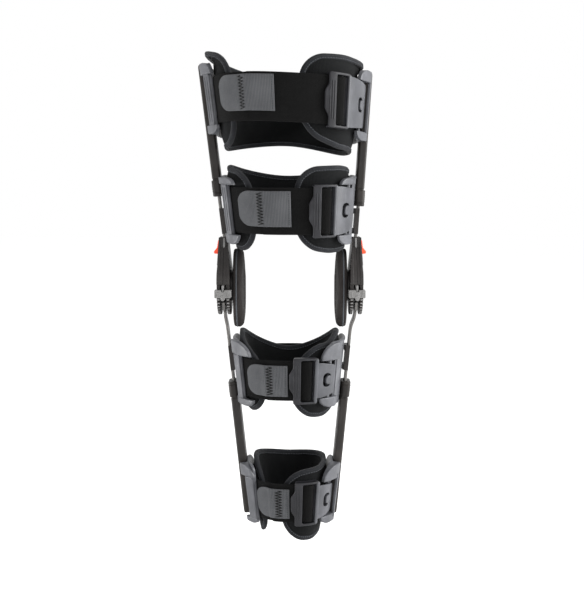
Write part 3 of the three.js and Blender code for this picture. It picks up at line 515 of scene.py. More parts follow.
# %% [markdown]
# ## Cuffs
# Four cuffs share one plan and differ only in their measures, so the measures stand in one table
# with a row for each and a column for each cuff. What follows from them, such as where the layers
# of pad, strap and shell lie, is worked out once and kept with the cuff.

# %% Cuffs
GAP = 0.4
STRAP_THICK, SHELL_THICK, SLEEVE_THICK = 2, 3, 11
SHELL_CLEAR = 0.1  # added to the gap between a shell and its sleeve
BUCKLE_OUT = 4.5  # from the strap's middle to the layer in which buckles are drawn true
CUFF_TABLE = {  # a value for each cuff in mm, in degrees from the front, or as a slope or share
    "name": ("upper_thigh", "lower_thigh", "upper_calf", "lower_calf"),
    "z": (224, 99.5, -111, -269),
    "half_depth": (78, 68, 55, 40),
    "centre_y": (0, 0, 4, 2),
    "tilt": (0, 0.07, 0, 0),
    "roll": (-0.045, 0, 0, 0),
    "pad": (11, 11, 10, 10),
    "strap": (55, 55, 50, 50),
    "strap_end": (-27, -22, -23, -24),
    "tab_from": (-54, -44, -46, -49),
    "tab_to": (-8, 1.5, -1.5, -1),
    "tab_half": (20.5, 21, 19.5, 19.5),
    "tab_rise": (4, 3, 0, 0),
    "seam": (0.49, 0.46, 0.6, 0.72),
    "buckle": (37, 27.5, 14.5, 19.5),
    "hook_half": (25, 25, 18, 18),
    "shell_top": (44.5, 39, 46, 44),
    "shell_foot": (-41, -43, -37, -35),
    "seat": ("on_sleeve", "on_bar", "on_bar", "on_sleeve"),
    "left_rod": (287, 300, 300, 303),
    "right_rod": (73, 54, 42, 59),
    "left_lug_front": (14, 19, 24, 6),
    "right_lug_front": (16, 15, 12, 12),
    "left_lug_rear": (13, 13, 13, 13),
    "right_lug_rear": (13, 10, 13, 13),
}
CUFFS = [dict(zip(CUFF_TABLE, values)) for values in zip(*CUFF_TABLE.values())]
for cuff in CUFFS:
    limb = "thigh" if cuff["z"] > 0 else "calf"
    leans = [SIDES[side][limb] for side in ("left", "right")]
    left_x, right_x = -upright_x("left", cuff["z"]), upright_x("right", cuff["z"])
    cuff["body"] = limb + "_frame"
    cuff["shell_half"] = (right_x - left_x) / 2 - SLEEVE_THICK / 2 - GAP - SHELL_CLEAR
    cuff["strap_middle"] = cuff["pad"] + GAP + STRAP_THICK / 2
    cuff["shell_inner"] = cuff["strap_middle"] + STRAP_THICK / 2 + GAP
    cuff["shell_outer"] = cuff["shell_inner"] + SHELL_THICK
    cuff["inner_half"] = cuff["shell_half"] - cuff["shell_outer"]
    radius = (cuff["inner_half"] + cuff["half_depth"]) / 2 + cuff["strap_middle"]
    cuff["per_mm"] = math.degrees(1 / radius)
    cuff["buckle_per_mm"] = math.degrees(1 / (radius + BUCKLE_OUT))
    cuff["centre_x"] = (left_x + right_x) / 2
    cuff["centre_slope"] = (leans[1] - leans[0]) / 2
    cuff["width_slope"] = (leans[0] + leans[1]) / 2
print("mm across the shells", {cuff["name"]: round(2 * cuff["shell_half"]) for cuff in CUFFS})

# %% [markdown]
# ## The round of a cuff
# Each cuff wraps a leg whose section is a squarish oval. A place on a cuff is an angle from the
# front, a distance out from the leg and a height from the middle of the strap. One function turns
# these into a point, so every piece of a cuff can be drawn flat and still sit exactly on its
# neighbours. A curve modifier could bend them too, but it wouldn't widen the cuff as the leg does.

# %% Round of a cuff
SECTION_POWER = 2.4


def columns(*values):
    """Rows of points from one array or number for each coordinate."""
    return np.stack(np.broadcast_arrays(*values), axis=-1)


def on_cuff(cuff, degrees, out, height):
    """Points in mm, from angles from the front, distances out from the leg and heights."""
    angle = np.radians(degrees)
    across, along = np.sin(angle), -np.cos(angle)
    taper = 1 + cuff["width_slope"] * height / cuff["shell_half"]
    share = np.abs(across / (cuff["inner_half"] + out)) ** SECTION_POWER
    share = share + np.abs(along / (cuff["half_depth"] + out)) ** SECTION_POWER
    reach = taper * share ** (-1 / SECTION_POWER)
    x = cuff["centre_x"] + cuff["centre_slope"] * height + reach * across
    y = reach * along
    z = cuff["z"] + height + cuff["tilt"] * y + cuff["roll"] * reach * across
    return columns(x, cuff["centre_y"] + y, z)


def round_cuff(cuff, at, per_mm, turn=1, out=0):
    """Bends a flat drawing (mm along, mm up, mm out) round the cuff, starting at an angle."""
    return lambda flat: on_cuff(cuff, at + turn * flat[:, 0] * per_mm, flat[:, 2] + out, flat[:, 1])


print("degrees to a mm", {cuff["name"]: round(cuff["per_mm"], 3) for cuff in CUFFS})

# %% [markdown]
# ## Rods and lugs
# A rod at the front edge of each shell holds the strap on the left and the buckle's hook on the
# right, with a raised lug above and below it. The left rod is broad and square, the right one
# slim. The lugs and the left rods climb from a low front to a high rear, so they are drawn at full
# height and then sloped.

# %% Rods and lugs
ROD_WIDTH = {"left": 11, "right": 5}
ROD_RIBS = (-2.2, 1.8)  # where the ribs run, mm from the rod's middle


def evenly(start, end, step):
    """Values from start to end, about this far apart."""
    return np.linspace(start, end, max(1, round(abs(end - start) / step)) + 1)


def climbing(shape, base, plate, rise, start, end):
    """Slopes a raised part, drawn at its full height, from a low front to a high rear."""
    share = np.clip((shape.points[:, 0] - start) / (end - start), 0, 1)
    height = plate + rise[0] + (rise[1] - rise[0]) * share
    shape.points[:, 2] = base + (shape.points[:, 2] - base) * (height - base) / (plate + rise[1] - base)
    return shape


def lug_outline(front, rear, base, tip):
    """A flap with a straight edge at its base and a quarter-round front."""
    wide = min(0.8 * (rear - front), 1.3 * abs(tip - base))
    turn = np.radians(evenly(0, 90, 9))
    quarter = [(front + wide * (1 - math.cos(t)), base + (tip - base) * math.sin(t)) for t in turn]
    points = quarter + [(rear - 1.5, tip), (rear, tip + (base - tip) * 0.12), (rear, base)]
    return points if tip > base else points[::-1]


def rod_shapes(side, base, outer, rise, slot_half, ribbed):
    """The rod in front of the slot, with two ribs along it if it is ribbed."""
    half = ROD_WIDTH[side] / 2
    rod = bar_plate((0.5 - half, -slot_half - 1), (half - 0.5, slot_half + 1), 1.4, base, outer + rise[1],
                    rim=1.3, slices=2, rim_steps=3)
    parts = [climbing(rod, base, outer, rise, -half, half)]
    for at in ROD_RIBS if ribbed else ():
        level = outer + rise[0] + (rise[1] - rise[0]) * (at + half) / (2 * half)
        parts.append(bar_plate((at - 0.5, 3 - slot_half), (at + 0.5, slot_half - 3), 0.4,
                               level - 0.6, level + 0.5, rim=0.3))
    return parts


print("points round a lug", len(lug_outline(-14, 13, 30, 44)))

# %% [markdown]
# ## Shells
# A shell is the curved plate that carries a cuff on its side bar, with a slot behind the rod for
# the strap or the hook. All of it is drawn flat and bent once, which keeps its layers parallel.
# Solidifying a bent sheet would do for the plate, but not for the rod and the lugs on it.

# %% Shells
SHELL_BACK = 120  # degrees from the front to the rear edge
LUG_ROOM = 5  # from the end of a buckle's hook to the lug above or below it
SLOT_WIDTH, SLOT_ROOM = 6.5, 2
FRONT_BAR = 5  # width of the bar that joins the lugs in front of a sleeve
SHELL_CORNER, RIM_CORNER = 9, 18
ROD_RISE = {"slim": (1.2, 1.2), "on_sleeve": (2, 8), "on_bar": (2, 5)}  # above the plate, front and rear
LUG_RISE = {"on_sleeve": (1.5, 10.5), "on_bar": (1.5, 4.5)}


def shell_shapes(cuff, side):
    left, seat = side == "left", cuff["seat"]
    rod_half, slot_half = ROD_WIDTH[side] / 2, cuff["strap"] / 2 + SLOT_ROOM
    rear = abs((360 - SHELL_BACK if left else SHELL_BACK) - cuff[side + "_rod"]) / cuff["per_mm"]
    top, foot = cuff["shell_top"], cuff["shell_foot"]
    inner, outer = cuff["shell_inner"], cuff["shell_outer"]
    lug_front, lug_rear = -cuff[side + "_lug_front"], cuff[side + "_lug_rear"]
    corners = [SHELL_CORNER, 2 * SHELL_CORNER, 2 * SHELL_CORNER, SHELL_CORNER]
    outline = bar_outline((-rod_half, foot), (rear, top), corners, 7)
    slot = bar_outline((rod_half, -slot_half), (rod_half + SLOT_WIDTH, slot_half), 1.6)
    parts = [flat_plate(outline, [slot], inner, outer, rim=0.8, slices=4)]
    # A raised rim stiffens the plate behind the slot.
    rim = [bar_outline((lug_rear - 2 + less, foot + less), (rear - less, top - less),
                       [2, RIM_CORNER - less, RIM_CORNER - less, 2], 7) for less in (0.8, 3.2)]
    parts.append(flat_plate(rim[0], rim[1:], outer - 0.5, outer + 0.7, rim=0.4, slices=4))
    parts += rod_shapes(side, inner + 0.8, outer, ROD_RISE[seat if left else "slim"], slot_half,
                        ribbed=left and cuff["z"] > 0)
    # The right lugs start close to the buckle's hook, the left ones clear of the slot.
    rise = LUG_RISE[seat]
    lug_base = (slot_half if left else min(slot_half, cuff["hook_half"] + LUG_ROOM)) + 0.4
    for base, tip in ((lug_base, top - 0.7), (-lug_base, foot + 0.7)):
        lug = flat_plate(lug_outline(lug_front, lug_rear, base, tip), (), inner + 0.2, outer + rise[1],
                         rim=1.5, slices=2, rim_steps=3)
        parts.append(climbing(lug, inner + 0.2, outer, rise, lug_front, lug_rear))
    if seat == "on_sleeve" and not left:
        parts.append(bar_plate((lug_rear - FRONT_BAR, -slot_half - 2), (lug_rear - 0.3, slot_half + 2), 1,
                               outer + rise[1] - 4.5, outer + rise[1] - 0.6, rim=1, slices=2))
    return parts


for cuff in CUFFS:
    for side, row in SIDES.items():
        name = f"{cuff['name']}_{side}"
        make_piece(f"{name}_plate", shell_shapes(cuff, side), cuff["body"], [shell_grey],
                   [f"{name}_shell"], round_cuff(cuff, cuff[side + "_rod"], cuff["per_mm"], row["sign"]))
print("shells", len(SIDES) * len(CUFFS))

# %% [markdown]
# ## Straps
# Each strap is a band of loop pile, held taut: it runs from the right shell round the back of the
# leg, under the left shell to the buckle, turns back round the buckle's bar and ends under the
# hook tab. Cloth could be wrapped round the leg, but webbing is only a thin band on a known line,
# so it is swept directly, with soft edges.

# %% Straps
STRAP_FROM = 100  # degrees from the front
BUCKLE_BAR, BAR_RADIUS = 5, 2
BAND_EDGE = ((-1, 0), (-0.995, 0.55), (-0.975, 0.9), (-0.93, 1), (-0.5, 1), (0, 1), (0.5, 1), (0.93, 1),
             (0.975, 0.9), (0.995, 0.55), (1, 0))


def unit(rows):
    """Rows brought to length one."""
    return rows / np.linalg.norm(rows, axis=1)[:, None]


def run_along(line):
    """How far along a line each of its points lies."""
    return np.concatenate([[0], np.cumsum(np.linalg.norm(np.diff(line, axis=0), axis=1))])


def strap_line(cuff):
    """Where the strap's middle runs, as mm along the round and mm out from its own layer."""
    mm = 1 / cuff["per_mm"]
    bar = (360 + cuff["buckle"] + BUCKLE_BAR * cuff["buckle_per_mm"]) * mm
    turn = BAR_RADIUS + GAP + STRAP_THICK / 2
    laid = STRAP_THICK + GAP
    line = [(along, 0.0) for along in evenly(STRAP_FROM * mm, bar - 3, 3)]
    for angle in np.radians(evenly(-90, 90, 15)):
        line.append((bar + turn * math.cos(angle), turn + turn * math.sin(angle)))
    # Behind the bar the returning layer falls onto the one below it.
    fall = np.array([(2, 2 * turn), (4.5, 2 * turn - 1.1), (9, laid + 0.7), (21, laid + 0.4), (30, laid)])
    line += [(bar - back, np.interp(back, fall[:, 0], fall[:, 1])) for back in evenly(4, 30, 3)]
    line += [(along, laid) for along in evenly(bar - 33, (360 + cuff["strap_end"]) * mm, 3)]
    return np.array(line)


def band_section(half, thickness):
    """Heights of the points round a band's section, and how far out from its middle they lie."""
    upper = [(h * half, t * thickness / 2) for h, t in BAND_EDGE]
    lower = [(h * half, -t * thickness / 2) for h, t in BAND_EDGE[-2:0:-1]]
    return np.array(upper + lower).T


def strap_shape(cuff):
    """A strap's band and its length."""
    line = strap_line(cuff)
    run = run_along(line)
    heights, offset = band_section(cuff["strap"] / 2, STRAP_THICK)
    rings, lays = [], []
    for (along, out), heading, length in zip(line, unit(np.gradient(line, axis=0)), run):
        flat_along = along - heading[1] * offset
        flat_out = cuff["strap_middle"] + out + heading[0] * offset
        rings.append(on_cuff(cuff, flat_along * cuff["per_mm"], flat_out, heights))
        lays.append(columns(length, heights, offset))
    return loft(rings, lays=lays), run[-1]


for cuff in CUFFS:
    shape, length = strap_shape(cuff)
    webbing = make_piece(f"{cuff['name']}_webbing", [shape], cuff["body"], [loop_pile],
                         [f"{cuff['name']}_strap"], smooth_angle=60, hard=False)
    print(cuff["name"], "strap", round(length), "mm")

# %% [markdown]
# ## Stitches
# Thread stands proud of the cloth and catches the light, so a painted dash would look flat. Each
# stitch is a small bead with pointed ends instead, and a whole seam is made at once from arrays
# of start and end points.

# %% Stitches
BEAD_SIDES = 6
BEAD_RINGS = ((0.12, 0.7), (0.5, 1.0), (0.88, 0.7))  # share of its length, share of its radius


def stitches(starts, ends, ups, radius):
    """Short beads of thread from start to end points, standing out along ups, in the second finish."""
    length = np.linalg.norm(ends - starts, axis=1)[:, None]
    along = (ends - starts) / length
    aside = unit(np.cross(ups, along))
    rise = np.cross(along, aside)
    spots = [starts]
    for share, swelling in BEAD_RINGS:
        for angle in np.radians(np.arange(BEAD_SIDES) * 360 / BEAD_SIDES):
            reach = radius * swelling * (math.cos(angle) * aside + math.sin(angle) * rise)
            spots.append(starts + along * length * share + reach)
    spots.append(ends)
    faces = []
    for first in range(0, len(spots) * len(starts), len(spots)):
        last = first + len(spots) - 1
        for j in range(BEAD_SIDES):
            k = (j + 1) % BEAD_SIDES
            faces.append((first, first + 1 + k, first + 1 + j))
            for ring in (first + 1, first + 1 + BEAD_SIDES):
                faces.append((ring + j, ring + k, ring + BEAD_SIDES + k, ring + BEAD_SIDES + j))
            faces.append((last, last - BEAD_SIDES + j, last - BEAD_SIDES + k))
    return Shape(np.stack(spots, axis=1), faces, 1)


def sewn(place, flat, start, end, radius):
    """Stitches along a flat row of spots, from one share of each gap to another."""
    spots = place(flat)
    ups = place(flat + (0, 0, 1)) - spots
    gaps = np.diff(spots, axis=0)
    return stitches(spots[:-1] + start * gaps, spots[:-1] + end * gaps, ups[:-1], radius)


print("points of a bead", 2 + BEAD_SIDES * len(BEAD_RINGS))

# %% [markdown]
# ## Hook tabs
# The tab is a tongue of woven hook tape sewn to the strap's end by a dense zigzag. It lies on the
# doubled strap and drops to the layer below past its end, so the step shows through. A shrinkwrap
# would find the step as well, but the heights of both layers are known, so it is drawn.

# %% Hook tabs
TAB_THICK = 2
SEAM_MARGIN = 2
ZIGZAG_REACH, ZIGZAG_STEP, ZIGZAG_THREAD, ZIGZAG_LAP = 3.4, 0.9, 0.65, 0.22
HEM_IN, HEM_STEP, HEM_THREAD, HEM_SHARE = 2.2, 2.6, 0.3, 0.72


def ease(value, start, end):
    """A share that grows softly from 0 at one value to 1 at another."""
    share = np.clip((value - start) / (end - start), 0, 1)
    return share * share * (3 - 2 * share)


def corner_inset(distance, radius):
    """How far an edge is drawn in near an end with a rounded corner."""
    short = radius - np.clip(distance, 0, radius)
    return radius - np.sqrt(radius * radius - short * short)


def tab_shapes(cuff):
    """A tab's tape, zigzag and hem, and its length."""
    half, rise = cuff["tab_half"], cuff["tab_rise"]
    round_end = half * 0.75
    step_foot, step_top, length = [(degrees - cuff["tab_from"]) / cuff["per_mm"] for degrees in
                                   (cuff["strap_end"] - 6, cuff["strap_end"] - 1, cuff["tab_to"])]
    low = cuff["strap_middle"] + STRAP_THICK / 2 + GAP + TAB_THICK / 2
    high = cuff["strap_middle"] + 1.5 * STRAP_THICK + 2 * GAP + TAB_THICK / 2
    place = round_cuff(cuff, cuff["tab_from"], cuff["per_mm"])

    def middle(along):
        return low + (high - low) * ease(along, step_foot, step_top)

    start = round_end * (1 - np.cos(np.radians(evenly(0, 90, 9))))
    alongs = np.concatenate([start, evenly(round_end + 2, length, 2)])
    lays = []
    for along in alongs:
        thick = TAB_THICK / 2 if along in (alongs[0], alongs[-1]) else TAB_THICK
        heights, offset = band_section(half - 0.9 * corner_inset(along, round_end), thick)
        lays.append(columns(along, rise + heights, middle(along) + offset))
    tape = loft([place(flat) for flat in lays], lays=lays)
    # The zigzag seam runs across the tab, and a plain hem line along its square end.
    heights = rise + evenly(SEAM_MARGIN - half, half - SEAM_MARGIN, ZIGZAG_STEP)
    along = cuff["seam"] * length + ZIGZAG_REACH * np.array([-1, 0, 1, 0])[np.arange(len(heights)) % 4]
    zigzag = sewn(place, columns(along, heights, middle(along) + TAB_THICK / 2 + 0.2),
                  -ZIGZAG_LAP, 1 + ZIGZAG_LAP, ZIGZAG_THREAD)
    heights = rise + evenly(SEAM_MARGIN - half, half - SEAM_MARGIN, HEM_STEP)
    hem = sewn(place, columns(length - HEM_IN, heights, middle(length) + TAB_THICK / 2),
               0, HEM_SHARE, HEM_THREAD)
    return [tape, zigzag, hem], length


for cuff in CUFFS:
    shapes, length = tab_shapes(cuff)
    tab = make_piece(f"{cuff['name']}_hook_tab", shapes, cuff["body"], [hook_tape, dark_thread],
                     [f"{cuff['name']}_tab"], smooth_angle=60, hard=False)
    print(cuff["name"], "tab", round(length), "mm")

# %% [markdown]
# ## Buckle frames
# The buckle is a moulded frame. Its grip bulges towards the tab and is ribbed for the thumb, and
# the strap turns back round the bar in its window. Each part is one flat outline, so the frame is
# a stack of plates bent together, which needs no boolean cut.

# %% Buckle frames
GRIP_FROM, GRIP_TO, BULGE, SHOULDER_HIGH = -13, -4.5, 4.5, 4
GRIP_RIBS = ((0, 0.62), (2.5, 0.86), (5, 0.86))  # mm along, share of the window's height
EDGE_FROM, EDGE_TO = 11, 14.5
BUCKLE_UNDER, GRIP_UNDER, BUCKLE_TOP = -0.5, 5, 9
RAIL, FRAME_CORNER = 3, 3.6


def grip_edge(half):
    """The grip's front edge from foot to top: straight, then a bulge with soft shoulders."""
    heights = evenly(-half, half, 1.6)
    bulge = BULGE * (1 - ease(abs(heights), 0.3 * half, 0.72 * half))
    return list(zip((GRIP_FROM - bulge).tolist(), heights.tolist()))


def grip_slope(along):
    """The share of its height that the grip keeps: it falls to its front edge, like a ramp."""
    return 1 - 0.35 * ease(-along, 2 - GRIP_TO, BULGE - GRIP_FROM)


def frame_shapes(inside):
    """The grip, the rails, the ribs, the strap's bar and the rear edge, round a window this half high."""
    outside = inside + RAIL
    shoulder = outside - SHOULDER_HIGH
    corners = [(GRIP_FROM, shoulder), (GRIP_FROM, outside), (EDGE_TO, outside)]
    corners += [(x, -y) for x, y in corners[::-1]]
    outline = grip_edge(shoulder) + rounded(corners, [0, *[FRAME_CORNER] * 4, 0], 6)[1:-1]
    window = bar_outline((GRIP_TO, -inside), (EDGE_FROM, inside), 1.5)
    grip = flat_plate(outline, [window], GRIP_UNDER, BUCKLE_TOP, rim=1.1, slices=3, rim_steps=3)
    grip.points[:, 2] = GRIP_UNDER + (grip.points[:, 2] - GRIP_UNDER) * grip_slope(grip.points[:, 0])
    parts = [grip]
    for low, high in ((-outside, -inside), (inside, outside)):
        parts.append(bar_plate((GRIP_FROM + 1, low), (EDGE_TO, high), 1.6, BUCKLE_UNDER, BUCKLE_TOP - 0.6,
                               rim=0.9, slices=3))
    for along, share in GRIP_RIBS:
        at, tall = GRIP_FROM + 0.2 + along, (inside - 3) * share
        level = GRIP_UNDER + (BUCKLE_TOP - GRIP_UNDER) * grip_slope(at)
        parts.append(bar_plate((at, -tall), (at + 1.1, tall), 0.5, level - 0.6, level + 0.55,
                               rim=0.4, slices=3))
    bar_low = STRAP_THICK / 2 + GAP + 0.3
    parts.append(bar_plate((BUCKLE_BAR - 1.7, -inside - 1), (BUCKLE_BAR + 1.7, inside + 1), 0.8,
                           bar_low, bar_low + 3.4, rim=1.4, rim_steps=3))
    parts.append(bar_plate((EDGE_FROM, 1 - outside), (EDGE_TO + 0.6, outside - 1), 1.8,
                           BUCKLE_UNDER + 1, BUCKLE_TOP + 0.5, rim=1.5, rim_steps=3, finish=1))
    return parts


print("a grip falls to", round(grip_slope(GRIP_FROM - BULGE), 2), "of its height")

# %% [markdown]
# ## Buckle hooks
# A paler hook plate with a keyhole reaches from the frame over the shell's rod and grips it with a
# lip. Its length follows from the rod's place, so buckle and shell always meet.

# %% Buckle hooks
HOOK_UNDER, HOOK_FLARE, HOOK_LIP = 6.3, 4, 2.4
HOLE_HIGH, TONGUE_HIGH = 8.6, 5.6  # half heights


def hook_shapes(half, rod_edge):
    """The plate that tapers to a lip behind the rod, with a rounded tongue in its hole."""
    start, end, wide = EDGE_TO - 1, rod_edge + HOOK_LIP, half + HOOK_FLARE
    outline = rounded([(start, -wide), (start + 6, -wide), (end, -half), (end, half), (start + 6, wide),
                       (start, wide)], [1, 8, 5, 5, 8, 1], 7)
    hole_at, hole_half = start + 0.52 * (end - start), min(7.0, 0.2 * (end - start))
    hole = bar_outline((hole_at - hole_half, -HOLE_HIGH), (hole_at + hole_half, HOLE_HIGH),
                       min(5.0, hole_half - 0.2), 6)
    plate = flat_plate(outline, [hole], HOOK_UNDER, BUCKLE_TOP - 0.4, rim=0.8, slices=2.5, finish=1)
    tongue = bar_plate((hole_at - 0.35 * hole_half, -TONGUE_HIGH), (hole_at + hole_half + 2, TONGUE_HIGH),
                       4.2, HOOK_UNDER - 1, BUCKLE_TOP + 0.3, steps=6, rim=1, slices=1.5, finish=1)
    lip = bar_plate((rod_edge, 2 - half), (end - 0.3, half - 2), 0.9, 1.8, HOOK_UNDER + 1,
                    rim=0.7, slices=2, finish=1)
    return [plate, tongue, lip]


for cuff in CUFFS:
    past_rod = (ROD_WIDTH["right"] / 2 + 0.6) * cuff["per_mm"]
    rod_edge = (cuff["right_rod"] - cuff["buckle"] + past_rod) / cuff["buckle_per_mm"]
    shapes = frame_shapes(cuff["strap"] / 2 + 0.8) + hook_shapes(cuff["hook_half"], rod_edge)
    make_piece(f"{cuff['name']}_frame_buckle", shapes, cuff["body"], [buckle_grey, hook_grey],
               [f"{cuff['name']}_buckle"],
               round_cuff(cuff, cuff["buckle"], cuff["buckle_per_mm"], out=cuff["strap_middle"]))
print("buckles", len(CUFFS))

# %% [markdown]
# ## Cushions
# A cuff's pad is foam in a knitted cover, bound round its edge with a folded tape. The cover is
# drawn thin and then swollen: Blender's cloth, held along the bound edge and blown up a little,
# finds the crown that stuffing gives. Where the strap presses, the swelling is held back.

# %% Pad outlines
PAD_CORNER = 30
CURL = 13  # how far below its top edge a pad begins to curl out
PAD_EDGES = {  # degrees, top, foot, flare
    "upper_thigh": ((10, 51, -42, 0), (52, 55, -54, 1), (84, 54, -56, 8), (112, 46, -56, 0),
                    (180, 44, -44, 0), (265, 62, -58, 11), (314, 52, -56, 0)),
    "lower_thigh": ((5, 52, -45, 0), (45, 53, -52, 0), (100, 46, -51, 0), (180, 36, -27, 0),
                    (262, 52, -51, 0), (327, 48, -50, 0)),
    "upper_calf": ((2, 30, -46, 0), (40, 44, -50, 0), (72, 57, -45, 0), (95, 55, -40, 0),
                   (180, 23, -36, 0), (265, 55, -42, 0), (331, 32, -45, 0)),
    "lower_calf": ((-14, 38, -50, 0), (35, 42, -54, 0), (95, 46, -44, 0), (180, 40, -40, 0),
                   (265, 50, -44, 0), (316, 44, -54, 0)),
}

for cuff in CUFFS:
    cuff["edge"] = dict(zip(("at", "top", "foot", "flare"), np.array(PAD_EDGES[cuff["name"]], float).T))
    cuff["pad_length"] = (cuff["edge"]["at"][-1] - cuff["edge"]["at"][0]) / cuff["per_mm"]


def pad_row(cuff, degrees, column):
    """A pad's top, foot or flare at some angles, eased between the rows of its table."""
    at, values = cuff["edge"]["at"], cuff["edge"][column]
    low = np.clip(np.searchsorted(at, degrees) - 1, 0, len(at) - 2)
    share = ease((degrees - at[low]) / (at[low + 1] - at[low]), 0, 1)
    return values[low] + (values[low + 1] - values[low]) * share


def pad_end(cuff, degrees):
    """Distance in mm to the nearer end of the pad."""
    at = cuff["edge"]["at"]
    return np.minimum(degrees - at[0], at[-1] - degrees) / cuff["per_mm"]


def edge_distance(cuff, degrees, height):
    """How far inside the pad's outline a point lies."""
    end = pad_end(cuff, degrees)
    up, down = pad_row(cuff, degrees, "top") - height, height - pad_row(cuff, degrees, "foot")
    inside = np.minimum(end, np.minimum(up, down))
    for side in (up, down):
        into = np.hypot(PAD_CORNER - end, PAD_CORNER - side)
        cornered = (end < PAD_CORNER) & (side < PAD_CORNER)
        inside = np.where(cornered, np.minimum(inside, PAD_CORNER - into), inside)
    return inside


def pad_flare(cuff, degrees, height):
    """How far the top edge curls away from the leg."""
    top = pad_row(cuff, degrees, "top")
    return pad_row(cuff, degrees, "flare") * ease(height, top - CURL, top)


def sampled(places, run, rows):
    """Rows that are known along a run, read at other places."""
    return columns(*(np.interp(places, run, column) for column in rows.T))


def pad_loop(cuff, step):
    """The pad's outline as a closed loop of (degrees, height), evenly spaced, and its run."""
    length = cuff["pad_length"]
    turn = PAD_CORNER * (1 - np.cos(np.radians(evenly(0, 90, 6))))
    along = np.concatenate([turn, evenly(PAD_CORNER + 3, length - PAD_CORNER - 3, 3), length - turn[::-1]])
    degrees = cuff["edge"]["at"][0] + along * cuff["per_mm"]
    inset = corner_inset(pad_end(cuff, degrees), PAD_CORNER)
    foot = columns(degrees, pad_row(cuff, degrees, "foot") + inset)
    top = columns(degrees, pad_row(cuff, degrees, "top") - inset)[::-1]
    loop = np.concatenate([foot, top, foot[:1]])
    run = run_along(loop / (cuff["per_mm"], 1))
    even = np.linspace(0, run[-1], round(run[-1] / step) + 1)[:-1]
    return sampled(even, run, loop), even


print("mm round a pad", {cuff["name"]: round(cuff["pad_length"]) for cuff in CUFFS})

# %% [markdown]
# ## Swelling the cushions
# The foam's cover starts a little thin. Cloth with pressure inside and no gravity fills it in
# twenty frames. Then every point is kept from moving more than a few millimetres and from standing
# out as far as the shells, and below the strap it is kept under the strap.

# %% Swelling
FRAMES = 20
PRESSURE = 4.0
CLOTH_SETTINGS = {
    "quality": 6, "mass": 0.3, "tension_stiffness": 12, "compression_stiffness": 12,
    "bending_stiffness": 0.6, "vertex_group_mass": "held", "use_pressure": True,
    "uniform_pressure_force": PRESSURE,
}


def swell(points, faces, held):
    """Points in mm after cloth with pressure has blown the closed form up, held points staying."""
    mesh = outward_mesh("foam", points * MM, faces)
    foam = bpy.data.objects.new("foam", mesh)
    scene.collection.objects.link(foam)
    foam.vertex_groups.new(name="held").add([int(i) for i in np.nonzero(held)[0]], 1.0, "REPLACE")
    cloth = foam.modifiers.new("cloth", "CLOTH")
    for key, value in CLOTH_SETTINGS.items():
        setattr(cloth.settings, key, value)
    cloth.settings.effector_weights.gravity = 0
    cloth.collision_settings.use_collision = False
    cloth.point_cache.frame_end = FRAMES
    for number in range(1, FRAMES + 1):
        scene.frame_set(number)
    made = foam.evaluated_get(bpy.context.evaluated_depsgraph_get()).to_mesh()
    swollen = np.zeros(len(points) * 3, np.float32)
    made.vertices.foreach_get("co", swollen)
    bpy.data.objects.remove(foam)
    bpy.data.meshes.remove(mesh)
    scene.frame_set(1)
    return swollen.reshape(-1, 3).astype(float) / MM


def kept_near(rest, moved, most):
    """Moved points, none further than this from where it was."""
    shift = moved - rest
    far = np.linalg.norm(shift, axis=1)
    return rest + shift * np.minimum(1, most / np.maximum(far, 1e-9))[:, None]


print("frames", FRAMES, "pressure", PRESSURE, "with cloth")

# %% [markdown]
# ## The cover
# The cover is two sheets of small squares, one on each face of the foam, joined along their edge.
# The foam is thin inside the binding and rises from there in a soft crown.

# %% Cover
BOUND = 6.6  # width of the binding
CORE_EDGE = 2.0  # half thickness of the foam inside the binding
CROWN_WIDE, CROWN_POWER = 12, 2.2
COVER_ROWS, COVER_STEP, COVER_MARGIN = 23, 5, 2
START_THIN = 1.6  # the cover starts this much under its full thickness
MOST_SWELL = 3.0
FREE_RISE, PRESSED_BY = 1.8, 1.7  # how far the cover may stand out, and how much the strap takes off
PRESS_EDGE = 5


def cover_faces(count, rows):
    """Squares over two grids of points, and a row of squares that joins their edges."""
    grid = np.arange(count * rows).reshape(count, rows)
    quads = [(grid[i, j], grid[i + 1, j], grid[i + 1, j + 1], grid[i, j + 1])
             for i in range(count - 1) for j in range(rows - 1)]
    faces = quads + [tuple(grid.size + k for k in quad[::-1]) for quad in quads]
    border = [*grid[:, 0], *grid[-1, 1:], *grid[-2::-1, -1], *grid[0, -2:0:-1]]
    faces += [(b, a, grid.size + a, grid.size + b) for a, b in zip(border, border[1:] + border[:1])]
    return [tuple(int(k) for k in face) for face in faces]


